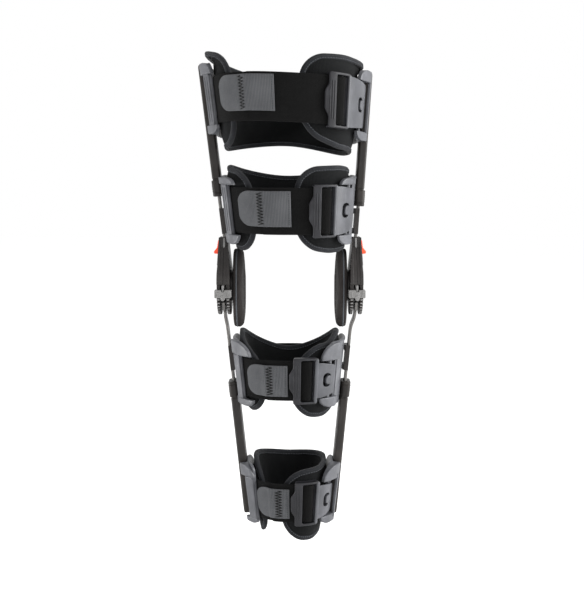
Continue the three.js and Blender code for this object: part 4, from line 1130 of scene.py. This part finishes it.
def cushion(cuff):
    along = evenly(COVER_MARGIN, cuff["pad_length"] - COVER_MARGIN, COVER_STEP)
    degrees = np.repeat(cuff["edge"]["at"][0] + along * cuff["per_mm"], COVER_ROWS)
    inset = corner_inset(pad_end(cuff, degrees), PAD_CORNER)
    foot = pad_row(cuff, degrees, "foot") + inset + COVER_MARGIN
    top = pad_row(cuff, degrees, "top") - inset - COVER_MARGIN
    # The rows lie closer together near the edges, where the foam rises.
    closer = 0.5 - 0.5 * np.cos(np.linspace(0, np.pi, COVER_ROWS))
    share = np.tile(0.5 * closer + 0.5 * np.linspace(0, 1, COVER_ROWS), len(along))
    height = foot + (top - foot) * share
    inside = edge_distance(cuff, degrees, height)
    full = cuff["pad"] / 2 - START_THIN / 2
    crown = 1 - (1 - np.clip((inside - BOUND) / CROWN_WIDE, 0, 1)) ** CROWN_POWER
    half = np.where(inside < BOUND, CORE_EDGE * np.sqrt(np.clip(inside, 0.4, 2) / 2),
                    CORE_EDGE + (full - CORE_EDGE) * crown)
    flare = pad_flare(cuff, degrees, height)
    middle = cuff["pad"] / 2 + flare
    out = np.concatenate([middle + half, middle - half])
    degrees, height, inside, flare = (np.tile(value, 2) for value in (degrees, height, inside, flare))
    faces = cover_faces(len(along), COVER_ROWS)
    rest = on_cuff(cuff, degrees, out, height)
    held = inside < BOUND + 1.5
    moved = kept_near(rest, swell(rest, faces, held), MOST_SWELL)
    # The strap holds the cover down where it lies on it.
    outward = unit(on_cuff(cuff, degrees, out + 1, height) - rest)
    rise = np.einsum("ij,ij->i", moved - rest, outward)
    pressed = 1 - ease(np.abs(height), cuff["strap"] / 2, cuff["strap"] / 2 + PRESS_EDGE)
    over = np.maximum(0, out + rise - (cuff["pad"] + FREE_RISE - PRESSED_BY * pressed + flare))
    return Shape(moved - outward * over[:, None], faces, 0, columns(degrees / cuff["per_mm"], height, out))


for cuff in CUFFS:
    cuff["cover"] = cushion(cuff)
print("points of a cover", {cuff["name"]: len(cuff["cover"].points) for cuff in CUFFS})

# %% [markdown]
# ## Binding and stitches
# The tape is folded over the raw edge and sewn through, so it is a soft roll all round the pad.
# It is swept along the outline from one small section, and a row of stitches follows it on both
# faces. The stitches are beads of thread rather than a painted dash, so they hold up in a close look.

# %% Binding and stitches
TAPE_FACE = [(6.6, 2.0), (5.2, 2.6), (3.2, 2.95), (1.4, 2.6), (0.3, 1.6)]  # mm in from the edge, mm out
TAPE_SECTION = np.array(TAPE_FACE + [(0.0, 0.0)] + [(depth, -rise) for depth, rise in TAPE_FACE[::-1]])
TAPE_STEP, PUCKER = 3, 0.06
STITCH_LINE, STITCH_PITCH, STITCH_LENGTH = 5.0, 3.6, 2.6
THREAD_OUT, THREAD_ABOVE, THREAD = 2.72, 3.7, 0.42


def binding_shapes(cuff):
    loop, run = pad_loop(cuff, TAPE_STEP)
    flat = loop / (cuff["per_mm"], 1)
    ahead = unit(np.roll(flat, -1, axis=0) - np.roll(flat, 1, axis=0))
    inward = columns(-ahead[:, 1], ahead[:, 0])
    flare = pad_flare(cuff, loop[:, 0], loop[:, 1])

    def at(spots, inwards, flares, depth, rise):
        moved = spots + inwards * depth
        return on_cuff(cuff, moved[:, 0] * cuff["per_mm"], cuff["pad"] / 2 + rise + flares, moved[:, 1])

    def sewn_at(places, rise):
        return at(sampled(places, run, flat), sampled(places, run, inward), np.interp(places, run, flare),
                  STITCH_LINE, rise)

    pucker = 1 + PUCKER * np.sin(run / STITCH_PITCH * 2 * np.pi)
    rows = [at(flat, inward, flare, depth, rise * pucker) for depth, rise in TAPE_SECTION]
    lays = [columns(length, TAPE_SECTION[:, 0], TAPE_SECTION[:, 1]) for length in run]
    shapes = [loft(list(np.stack(rows, axis=1)), closed=True, lays=lays)]
    begins = np.arange(0, run[-1] + TAPE_STEP - STITCH_PITCH, STITCH_PITCH)
    for face in (1, -1):
        starts, ends = (sewn_at(begins + more, face * THREAD_OUT) for more in (0, STITCH_LENGTH))
        shapes.append(stitches(starts, ends, sewn_at(begins, face * THREAD_ABOVE) - starts, THREAD))
    return shapes


for cuff in CUFFS:
    pad = make_piece(f"{cuff['name']}_cushion", [cuff["cover"]], cuff["body"], [pad_knit],
                     [f"{cuff['name']}_pad"], smooth_angle=180, hard=False)
    softened = pad.modifiers.new("soften", "SUBSURF")
    softened.levels = softened.render_levels = 1
    make_piece(f"{cuff['name']}_binding", binding_shapes(cuff), cuff["body"], [pad_tape, light_thread],
               smooth_angle=70, hard=False)
print("cushions", len(CUFFS))

# %% [markdown]
# ## Sleeves
# The telescoping sleeves are hollow moulded tubes with an open end that has a thicker collar and a
# release button. A tube is a row of rounded rectangles: up the inside, over the rim and back along
# the outside, so the open end really is open. The button's pocket is cut afterwards.

# %% Sleeves
SLEEVE_WIDE, SLEEVE_CORNER = 24, 3
COLLAR_LONG, COLLAR_STEP = 20, 1.3
HOLLOW_THICK, HOLLOW_WIDE, HOLLOW_DEEP = 4.0, 18.8, 40
CALF_SLEEVE = (-296, -122)
BUTTON_HIGH, BUTTON_WIDE, BUTTON_INNER, BUTTON_THICK = 14, 10, 4.4, 2.8
BUTTON_RIDGES = (-3.6, -1.2, 1.2, 3.6)
POCKET_FLOOR = 2.6
OUTWARD = Matrix(((0, 0, 1, 0), (1, 0, 0, 0), (0, 1, 0, 0), (0, 0, 0, 1)))  # drawn in Y and Z, thick in X


def moved_by(matrix):
    table = np.array(matrix, float)
    return lambda points: points @ table[:3, :3].T + table[:3, 3]


def stood_on(side, z):
    """The matrix that stands a piece on a side bar at one height, leaning with it."""
    row = SIDES[side]
    lean = math.atan(row["thigh"] if z > 0 else row["calf"])
    return (Matrix.Diagonal((row["sign"], 1, 1, 1)) @ Matrix.Translation((upright_x(side, z), 0, z))
            @ Matrix.Rotation(lean, 4, "Y"))


def cut_out(shape, low, high):
    """The shape with a box cut out of it."""
    box = [(x, y, z) for x in (low[0], high[0]) for y in (low[1], high[1]) for z in (low[2], high[2])]
    box_faces = [(0, 1, 3, 2), (4, 6, 7, 5), (0, 4, 5, 1), (2, 3, 7, 6), (0, 2, 6, 4), (1, 5, 7, 3)]
    meshes = [outward_mesh("cut", *rows) for rows in ((shape.points, shape.faces), (box, box_faces))]
    whole, knife = (bpy.data.objects.new("cut", mesh) for mesh in meshes)
    for holder in (whole, knife):
        scene.collection.objects.link(holder)
    cut = whole.modifiers.new("cut", "BOOLEAN")
    cut.object = knife
    cut.operation = "DIFFERENCE"
    cut.solver = "EXACT"
    result = whole.evaluated_get(bpy.context.evaluated_depsgraph_get()).to_mesh()
    points = np.array([v.co for v in result.vertices])
    faces = [tuple(face.vertices) for face in result.polygons]
    for holder, mesh in zip((whole, knife), meshes):
        bpy.data.objects.remove(holder)
        bpy.data.meshes.remove(mesh)
    return Shape(points, faces)


def sleeve_shape(length, open_end):
    """A sleeve about its own middle and its button's place; open_end is 1 for the top, -1 for the foot."""
    # A section is its thickness, width, corner and sideways shift.
    hollow, mouth = ((HOLLOW_THICK, HOLLOW_WIDE, corner, 0) for corner in (0.8, 0.9))
    collar = (SLEEVE_THICK + COLLAR_STEP, SLEEVE_WIDE + 2 * COLLAR_STEP, SLEEVE_CORNER + COLLAR_STEP,
              COLLAR_STEP / 2)
    body = (SLEEVE_THICK, SLEEVE_WIDE, SLEEVE_CORNER, 0)
    end = COLLAR_LONG
    steps = (  # a section, then its places: mm from the open end and how much smaller all round
        (hollow, ((HOLLOW_DEEP, 0), (0.8, 0))),
        (mouth, ((0, -0.7),)),
        (collar, ((0, 0.9), (0.3, 0.35), (0.9, 0), (3.2, 0), (3.6, 0.45), (4.4, 0.45), (4.8, 0),
                  (end - 0.9, 0), (end - 0.3, 0.35), (end, 0.9))),
        (body, ((end + 0.2, 0.5), (end + 1.6, 0.5), (end + 2.2, 0), (length - 4, 0), (length - 1.6, 0.35),
                (length - 0.5, 1.1), (length, 2.2))),
    )
    rings = []
    for (thick, wide, corner, shift), places in steps:
        for distance, less in places:
            half = np.array((thick / 2 - less, wide / 2 - less))
            box = np.array(bar_outline(-half, half, max(0.5, corner - less), 4))
            rings.append(columns(box[:, 0] + shift, box[:, 1], open_end * (length / 2 - distance)))
    middle = open_end * (length / 2 - COLLAR_LONG / 2)
    room_y, room_z = BUTTON_WIDE / 2 + GAP, BUTTON_HIGH / 2 + GAP
    low, high = (POCKET_FLOOR, -room_y, middle - room_z), (SLEEVE_THICK, room_y, middle + room_z)
    return cut_out(loft(rings), low, high), middle


def button_shapes():
    half_y, half_z = BUTTON_WIDE / 2, BUTTON_HIGH / 2
    top = BUTTON_INNER + BUTTON_THICK
    parts = [bar_plate((-half_y, -half_z), (half_y, half_z), 2.2, BUTTON_INNER, top, rim=0.7)]
    for z in BUTTON_RIDGES:
        parts.append(bar_plate((1.6 - half_y, z - 0.45), (half_y - 1.6, z + 0.45), 0.4,
                               top - 0.4, top + 0.45, rim=0.3))
    return parts


for side, row in SIDES.items():
    for limb, foot, top, open_end in (("thigh", row["sleeve_foot"], row["sleeve_top"], -1),
                                      ("calf", *CALF_SLEEVE, 1)):
        name = f"{side}_{limb}"
        stand = stood_on(side, (foot + top) / 2)
        tube, button_at = sleeve_shape(top - foot, open_end)
        make_piece(f"{name}_tube", [tube], f"{limb}_frame", [sleeve_charcoal],
                   [f"{name}_sleeve"], moved_by(stand), smooth_angle=30)
        place = moved_by(stand @ Matrix.Translation((0, 0, button_at)) @ OUTWARD)
        make_piece(f"{name}_push", button_shapes(), f"{name}_release", [buckle_grey],
                   [f"{name}_button"], place)
        print(name, "sleeve", top - foot, "mm, button at", round(button_at, 1))

# %% [markdown]
# ## Hinges
# A hinge is two toothed side plates round a disc on the calf bar. Above, the plates close into a
# neck that thins upwards, with a thumb slide on its outer face. In front, an E shaped clip sits
# over the first teeth and stops the disc. The plates could be cut from discs, but a drawn outline
# keeps the teeth square, so they are flat outlines again, set upright instead of bent.

# %% Hinge housings
HINGE_RADIUS = 37
TOOTH_FROM, TOOTH_TO, TOOTH_PITCH, TOOTH_DEPTH = 190, 350, 8, 2.4
TOOTH_STARTS = range(TOOTH_FROM, TOOTH_TO - TOOTH_PITCH + 1, TOOTH_PITCH)
SEAT_FROM, SEAT_TO, SEAT_DEPTH = 174, 184, 3.4  # the notch above the clip, where its tongue lies
NECK_HALF, NECK_TOP, SHOULDER = 13, 62, 30
NECK_FLARE, FLARE_AT = 9, 34


def polar(radius, degrees):
    return radius * math.cos(math.radians(degrees)), radius * math.sin(math.radians(degrees))


def arc(radius, start, end, step=4):
    return [polar(radius, angle) for angle in evenly(start, end, step)]


def plate_outline():
    """One side plate in Y and Z: neck, shoulders, the clip's seat and square teeth round the foot."""
    neck = [(-NECK_HALF - NECK_FLARE, FLARE_AT), (-NECK_HALF, NECK_TOP), (NECK_HALF, NECK_TOP),
            (NECK_HALF + NECK_FLARE, FLARE_AT)]
    points = rounded(neck, [0, 4, 4, 0], 4)[-2:0:-1]
    points += arc(HINGE_RADIUS, 180 - SHOULDER, SEAT_FROM)
    points += [polar(HINGE_RADIUS - SEAT_DEPTH, a) for a in (SEAT_FROM + 0.4, SEAT_TO - 0.4)]
    points += [polar(HINGE_RADIUS, a) for a in (SEAT_TO, TOOTH_FROM)]
    for start in TOOTH_STARTS:
        for depth, share in ((0, 0.02), (TOOTH_DEPTH, 0.08), (TOOTH_DEPTH, 0.5), (0, 0.56)):
            points.append(polar(HINGE_RADIUS - depth, start + share * TOOTH_PITCH))
    return points + arc(HINGE_RADIUS, TOOTH_TO, 360 + SHOULDER)


print("teeth on a plate", len(TOOTH_STARTS), "points round it", len(plate_outline()))

# %% [markdown]
# ## Necks and dials
# Between the plates the neck is filled, and a web in front closes it down to the clip. Above the
# web the bright edge of the clamped bar shows. The dial is a raised ring with ticks. A cap on every
# tooth is a painted highlight in pale grey: it stands for the light that the tooth's glossy land
# catches, and it is raised so that its edge stays crisp.

# %% Necks and dials
PLATE_IN, PLATE_OUT = 4, 8
NECK_THICK = 9.6
SHOULDER_Z = HINGE_RADIUS * math.sin(math.radians(SHOULDER))
NECK_SLOPE = (PLATE_OUT - NECK_THICK / 2) / (NECK_TOP - SHOULDER_Z)
PIN_RADIUS = 5
WEB_TOP = NECK_TOP - 13
SLOT_RADIUS = 38  # the disc's slot ends here, below the neck
BOSS_RADIUS, BOSS_RISE = 20, 3
DIAL_OUTER, DIAL_INNER = 24, 21.5
DIAL_TICK = ((13, -2.4), (19.5, -1.6), (19.5, 1.6), (13, 2.4))  # radius, degrees from its middle
LOCK_AT, LOCK_HALF_WIDE = 48, 6
LOCK_RAIL = (-22.5, 13)


def ring_points(radius, count=32):
    return [polar(radius, 360 * i / count) for i in range(count)]


def housing_half(z):
    """Half the thickness of the housing at some heights."""
    return PLATE_OUT - np.maximum(0, z - SHOULDER_Z) * NECK_SLOPE


def tapered(shape):
    """Thins a hinge plate's drawing upwards as the neck does; its inner face stays where it is."""
    across = np.abs(shape.points[:, 2])
    share = (housing_half(shape.points[:, 1]) - PLATE_IN) / (PLATE_OUT - PLATE_IN)
    thinned = np.minimum(across, PLATE_IN) + np.maximum(0, across - PLATE_IN) * share
    shape.points[:, 2] = np.sign(shape.points[:, 2]) * thinned
    return shape


def neck_shapes():
    """What lies between the side plates above the disc, drawn in Y and Z."""
    # A block closes the neck above the disc's slot.
    block = arc(SLOT_RADIUS, 70, 110, 5)
    block += [(0.6 - NECK_HALF, NECK_TOP - 0.6), (NECK_HALF - 0.6, NECK_TOP - 0.6)]
    parts = [flat_plate(block, (), -PLATE_IN - 0.6, PLATE_IN + 0.6, rim=0.2)]
    # A front web closes the slot above the clip, in two halves with a fine split that has a floor.
    for low, high, sunk in ((-PLATE_IN - 0.4, -0.3, 0), (0.3, PLATE_IN + 0.4, 0), (-0.6, 0.6, 1)):
        web = [(-NECK_HALF - 3.6 + sunk, WEB_TOP)]
        web += arc(HINGE_RADIUS - 0.5 - sunk, 180 - SHOULDER, SEAT_FROM)
        web += arc(HINGE_RADIUS - 2.6, SEAT_FROM, 180 - SHOULDER)
        web.append((-NECK_HALF - 0.6, WEB_TOP))
        parts.append(flat_plate(web, (), low, high, rim=0.25))
    # Above the web the bright edge of the clamped bar shows, with a filler on its outer side.
    for low, high, ahead, finish in ((-1.6, 1.2, 0, 1), (1.6, PLATE_IN + 0.3, 0.5, 0)):
        edge = [(-NECK_HALF - 3.4 - ahead, WEB_TOP - 1), (-NECK_HALF - 0.2 - ahead, NECK_TOP - 1.5),
                (1.5 - NECK_HALF, NECK_TOP - 1.5), (1.5 - NECK_HALF, WEB_TOP - 1)]
        parts.append(flat_plate(edge, (), low, high, rim=0.25, finish=finish))
    return parts


def dial_shapes():
    """Caps painted pale on the teeth as highlights, a boss towards the leg, and a ring with ticks away from
    it.
    """
    parts = []
    for start in TOOTH_STARTS:
        # Each cap takes the pale second finish, a painted highlight on the land of its tooth.
        highlight_cap = [polar(HINGE_RADIUS + rise, start + share * TOOTH_PITCH)
               for rise, share in ((-1, 0.6), (0.12, 0.6), (0.12, 0.98), (-1, 0.98))]
        for low in (PLATE_IN + 0.5, 0.5 - PLATE_OUT):
            parts.append(flat_plate(highlight_cap, (), low, low + PLATE_OUT - PLATE_IN - 1, rim=0.1, finish=1))
    parts.append(flat_plate(ring_points(BOSS_RADIUS, 40), (), -PLATE_OUT - BOSS_RISE, 0.5 - PLATE_OUT,
                            rim=0.8))
    parts.append(flat_plate(ring_points(DIAL_OUTER, 48), [ring_points(DIAL_INNER, 48)],
                            PLATE_OUT - 0.4, PLATE_OUT + 0.8, rim=0.4))
    for angle in range(0, 181, 15):
        tick = [polar(radius, angle + aside) for radius, aside in DIAL_TICK]
        parts.append(flat_plate(tick, (), PLATE_OUT - 0.3, PLATE_OUT + 0.45, rim=0.15))
    return parts


def neck_face(z):
    """The matrix of the sloping outer face of the neck at one height."""
    lean = Matrix.Rotation(-math.atan(NECK_SLOPE), 4, "Y")
    return Matrix.Translation((float(housing_half(z)), 0, z)) @ lean


def housing_shapes():
    plates = [flat_plate(plate_outline(), [ring_points(PIN_RADIUS + GAP)], low, high, rim=0.55)
              for low, high in ((PLATE_IN, PLATE_OUT), (-PLATE_OUT, -PLATE_IN))]
    parts = [tapered(part) for part in plates + neck_shapes()] + dial_shapes()
    shapes = [part.placed(moved_by(OUTWARD)) for part in parts]
    for aside in (-1, 1):
        edge = aside * (LOCK_HALF_WIDE + GAP + 1)
        rail = bar_plate((edge - 1, LOCK_RAIL[0]), (edge + 1, LOCK_RAIL[1]), 0.8, -1, 2, rim=0.5)
        shapes.append(rail.placed(moved_by(neck_face(LOCK_AT) @ OUTWARD)))
    return shapes


housing = housing_shapes()
print("shapes in a housing", len(housing))

# %% [markdown]
# ## Hinge parts
# The rivet is turned, so it is a profile swept round the hinge axis. The clip and the slide are
# drawn from the front, in X and Z, and are thick along Y. The clip shows a notched block, a nub
# below it and a tongue above; the slide is a wedge with ridges for the thumb.

# %% Hinge parts
PIN_HEAD = ((0, 9.7), (0.3, 10), (0.8, 10), (1.35, 9.5), (1.6, 8.6), (1.6, 5.2), (1.3, 4.8), (0.9, 4.4),
            (0.9, 1.2))  # mm out from the housing, radius
CLIP_HALF, CLIP_FOOT, CLIP_TOP = 10.2, -12.5, -2.5
CLIP_FRONT, CLIP_BACK = -41.5, -37.4
ARM_IN, ARM_TIP, RIB_AT = 8.4, -26, 6.6
SLIDE_HALF_HIGH, SLIDE_RISE, SLIDE_RIDGES = 10, 7, (1.5, 4.2, 6.9)


def turned(profile, count):
    """A turned part about the hinge axis, from (x, radius) rows."""
    angles = np.linspace(0, 2 * np.pi, count, endpoint=False)
    return loft([columns(x, radius * np.cos(angles), radius * np.sin(angles)) for x, radius in profile])


def pin_shapes():
    head = PLATE_OUT + GAP
    shaft = [(GAP - PLATE_OUT, 4.4), (1 - PLATE_OUT, PIN_RADIUS), (head + 0.2, PIN_RADIUS)]
    return [turned(shaft, 36), turned([(head + out, radius) for out, radius in PIN_HEAD], 40)]


def upright_plate(outline, front, back, rim):
    """A plate drawn in X and Z that is thick along Y, between two values."""
    half = (back - front) / 2
    stand = Matrix(((1, 0, 0, 0), (0, 0, -1, (front + back) / 2), (0, 1, 0, 0), (0, 0, 0, 1)))
    return flat_plate(outline, (), -half, half, rim=rim).placed(moved_by(stand))


def clip_shapes():
    """The stop clip: a block with a notch and two ribs, two arms, the middle tooth, a tongue and a nub."""
    wide, foot, top = CLIP_HALF, CLIP_FOOT, CLIP_TOP
    corners = [(-wide, foot), (wide, foot), (wide, top), (2.4, top), (1.6, top - 2.4), (-1.6, top - 2.4),
               (-2.4, top), (-wide, top)]
    front = rounded(corners, [1.4, 1.4, 1.4, 0.7, 0.7, 0.7, 0.7, 1.4], 4)
    parts = [upright_plate(front, CLIP_FRONT, CLIP_BACK, 0.7)]
    for low, high, rib in ((-wide, -ARM_IN, -RIB_AT), (ARM_IN, wide, RIB_AT)):
        parts.append(bar_plate((low, CLIP_FRONT + 2.5), (high, ARM_TIP), 1.0, foot + 0.4, top - 0.4,
                               rim=0.5))
        parts.append(upright_plate(bar_outline((rib - 0.7, foot + 1.8), (rib + 0.7, top - 1.8), 0.6),
                                   CLIP_FRONT - 0.6, CLIP_FRONT + 0.4, 0.35))
    parts.append(bar_plate((-3.4, CLIP_FRONT + 3), (3.4, -30), 0.8, foot + 0.8, top - 3, rim=0.5))
    tongue = bar_outline((-1.3, top - 2.6), (1.3, top + 5.6), 0.9)
    nub = bar_outline((-2.6, foot - 3.4), (2.6, foot + 3.6), 2.4)
    parts.append(upright_plate(tongue, CLIP_FRONT + 1.7, CLIP_FRONT + 3.5, 0.4))
    parts.append(upright_plate(nub, CLIP_FRONT - 0.7, CLIP_FRONT + 2.3, 0.8))
    return parts


def slide_shapes():
    """The thumb slide: a wedge with ridges across its slope, drawn on the flat of the neck."""
    half, rise = SLIDE_HALF_HIGH, SLIDE_RISE
    corners = [(GAP, 2 - half), (rise, 2 - half), (rise, 5 - half), (3.4, 0), (2.6, half), (GAP, half)]
    profile = rounded(corners, [0.6, 1.6, 1.6, 4, 1.4, 0.6], 4)
    parts = [upright_plate(profile, -LOCK_HALF_WIDE, LOCK_HALF_WIDE, 0.9)]
    for z in SLIDE_RIDGES:
        at = 3.3 - 0.075 * z
        ridge = bar_outline((at - 0.7, z - 0.5), (at + 0.6, z + 0.5), 0.4)
        parts.append(upright_plate(ridge, -4.6, 4.6, 0.35))
    return parts


def hinge_place(side):
    return Matrix.Diagonal((SIDES[side]["sign"], 1, 1, 1)) @ Matrix.Translation((HINGE_X, 0, 0))


for side in SIDES:
    hinge = hinge_place(side)
    for name, shapes, finishes, slot, node in (
            ("hinge_body", housing, [hinge_charcoal, clip_silver], "hinge_black", "hinge_housing"),
            ("rivet", pin_shapes(), [pin_steel], "pin_steel", "pivot_pin"),
            ("range_clip", clip_shapes(), [clip_silver], "clip_grey", "stop_clip")):
        make_piece(f"{side}_{name}", shapes, "thigh_frame", finishes, [f"{side}_{node}"],
                   moved_by(hinge))
    make_piece(f"{side}_thumb_slide", slide_shapes(), f"{side}_lock", [lock_orange],
               [f"{side}_lock_slider"], moved_by(hinge @ neck_face(LOCK_AT)))
print("hinges", len(SIDES))

# %% [markdown]
# ## Bars
# The bars are flat alloy strip, bent by hand to follow the leg. The strip is swept along its bent
# line with rounded bends and softened edges. The calf bar starts in the disc that turns inside
# the hinge, with a notch that the clip's tooth runs in.

# %% Bars
BAR_WIDE, BAR_THICK = 18, 3.2
DISC_RADIUS, NOTCH_RADIUS, NOTCH_FROM, NOTCH_TO = 34, 28.6, 92, 215
DISC_HALF, HUB_RADIUS, HUB_HALF = 1.75, 14, 3.5
THIGH_BAR_FOOT, THIGH_BAR_TOP = 45, 190
CALF_BAR_TOP, CALF_BAR_FOOT = 12 - NOTCH_RADIUS, -205
CALF_OUT = -39  # where the calf bar leaves the hinge


def bent_line(corners, reach=7.0, steps=6):
    """A line of (x, z) corners with every inner corner eased into a bend."""
    corners = [np.array(c, float) for c in corners]
    line = [corners[0]]
    for before, here, after in zip(corners, corners[1:], corners[2:]):
        ends = []
        for other in (before, after):
            length = np.linalg.norm(other - here)
            ends.append(here + (other - here) / length * min(reach, 0.45 * length))
        for t in np.linspace(0, 1, steps):
            line.append((1 - t) ** 2 * ends[0] + 2 * t * (1 - t) * here + t * t * ends[1])
    return np.array(line + [corners[-1]])


def strip_shape(corners):
    line = bent_line(corners)
    box = np.array(bar_outline((-BAR_THICK / 2, -BAR_WIDE / 2), (BAR_THICK / 2, BAR_WIDE / 2), 0.7, 3))
    return loft([columns(x + dz * box[:, 0], box[:, 1], z - dx * box[:, 0])
                 for (x, z), (dx, dz) in zip(line, unit(np.gradient(line, axis=0)))])


disc_line = arc(DISC_RADIUS, NOTCH_TO, NOTCH_FROM + 360, 5)
disc_line += arc(NOTCH_RADIUS, NOTCH_FROM + 2, NOTCH_TO - 2, 5)
turning = []
for outline, half in ((disc_line, DISC_HALF), (ring_points(HUB_RADIUS), HUB_HALF)):
    plate = flat_plate(outline, [ring_points(PIN_RADIUS + GAP)], -half, half, rim=0.4)
    turning.append(plate.placed(moved_by(OUTWARD)))
for side, row in SIDES.items():
    thigh_top, calf_foot = (upright_x(side, z) - HINGE_X for z in (THIGH_BAR_TOP, CALF_BAR_FOOT))
    thigh_strip = strip_shape([(0, THIGH_BAR_FOOT), (0, NECK_TOP), (THIGH_STEP, THIGH_BEND),
                               (thigh_top, THIGH_BAR_TOP)])
    calf_strip = strip_shape([(0, CALF_BAR_TOP), (0, CALF_OUT), (row["calf_step"], CALF_BEND),
                              (calf_foot, CALF_BAR_FOOT)])
    for limb, shapes, node in (("thigh", [thigh_strip], "thigh_bar"),
                               ("calf", [calf_strip, *turning], "calf_arm")):
        make_piece(f"{side}_{limb}_strip", shapes, f"{limb}_frame", [bar_alloy],
                   [f"{side}_{node}"], moved_by(hinge_place(side)), smooth_angle=35)
print("bars", 2 * len(SIDES))

# %% [markdown]
# ## Knee pads
# Between each hinge and the knee sits an oval pad: a firm backing against the hinge, a piped seam,
# and a soft cushion towards the skin. It is a stack of ovals, and the soft half is swollen with
# the same cloth as the cuffs.

# %% Knee pads
OVAL_HIGH, OVAL_WIDE, OVAL_MIDDLE, OVAL_THICK, OVAL_POINTS = 50, 30, -3, 14, 64
OVAL_OUT = -PLATE_OUT - BOSS_RISE - GAP
OVAL_SEAM, OVAL_INNER = OVAL_OUT - 4.6, OVAL_OUT - OVAL_THICK
PIPING_IN, PIPING_COUNT, PIPING_SIDES = 0.6, 96, 8
KNEE_SWELL = 1.2
BACKING_ROWS = (  # how much smaller than the full oval, x
    (22, OVAL_OUT), (10, OVAL_OUT), (4, OVAL_OUT - 0.1), (2, OVAL_OUT - 0.5), (0.8, OVAL_OUT - 1.4),
    (0.3, OVAL_OUT - 2.6), (0.7, OVAL_SEAM + 0.5), (1.6, OVAL_SEAM + 0.1))
SOFT_ROWS = (
    (1.4, OVAL_SEAM), (0.2, OVAL_SEAM - 0.8), (-0.1, OVAL_SEAM - 2.2), (0.1, OVAL_SEAM - 3.8),
    (0.9, OVAL_INNER + 4.2), (2.4, OVAL_INNER + 2.6), (4.6, OVAL_INNER + 1.4), (8, OVAL_INNER + 0.7),
    (12, OVAL_INNER + 0.4), (17, OVAL_INNER + 0.25), (23, OVAL_INNER + 0.2), (27, OVAL_INNER + 0.2))


def oval_stack(rows):
    angles = np.linspace(0, 2 * np.pi, OVAL_POINTS, endpoint=False)
    return loft([columns(x, (OVAL_WIDE - less) * np.cos(angles),
                         OVAL_MIDDLE + (OVAL_HIGH - less) * np.sin(angles)) for less, x in rows])


def piping_shape():
    """The cord of the seam, a ring of small circles of 1 mm radius."""
    around = np.linspace(0, 2 * np.pi, PIPING_SIDES, endpoint=False)
    rings = []
    for angle in np.linspace(0, 2 * np.pi, PIPING_COUNT, endpoint=False):
        y, z = (OVAL_WIDE - PIPING_IN) * math.cos(angle), (OVAL_HIGH - PIPING_IN) * math.sin(angle)
        away = np.array([math.cos(angle) / OVAL_WIDE, math.sin(angle) / OVAL_HIGH])
        away /= np.linalg.norm(away)
        rings.append(columns(OVAL_SEAM + np.sin(around), y + away[0] * np.cos(around),
                             OVAL_MIDDLE + z + away[1] * np.cos(around)))
    return loft(rings, 1, closed=True)


def knee_pad_shapes():
    soft = oval_stack(SOFT_ROWS)
    held = np.arange(len(soft.points)) < OVAL_POINTS
    soft.points = kept_near(soft.points, swell(soft.points, soft.faces, held), KNEE_SWELL)
    return [oval_stack(BACKING_ROWS), soft, piping_shape()]


for side in SIDES:
    pad = make_piece(f"{side}_knee_cushion", knee_pad_shapes(), "thigh_frame", [knee_knit, light_thread],
                     [f"{side}_condyle_pad"], moved_by(hinge_place(side)),
                     smooth_angle=60, hard=False)
print("knee pads", len(SIDES))

# %% [markdown]
# ## Brackets
# Four small brackets cup the bare bar beside the knee and carry the middle shells. Their solids
# are right as they are, so they stay: a weld and a bevel soften the edges, and they take the
# finish of the hinge.

# %% Brackets
WELD_WITHIN, BRACKET_EDGE = 0.00002, 0.0006
brackets = [node for name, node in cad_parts.items() if name.endswith("_bracket")]
for node in brackets:
    node.modifiers.new("weld", "WELD").merge_threshold = WELD_WITHIN
    soften = node.modifiers.new("soften", "BEVEL")
    soften.width = BRACKET_EDGE
    soften.segments = 2
    soften.limit_method = "ANGLE"
    node.modifiers.new("even_shading", "WEIGHTED_NORMAL")
    node.data.materials.clear()
    node.data.materials.append(hinge_charcoal)
print("brackets", len(brackets))
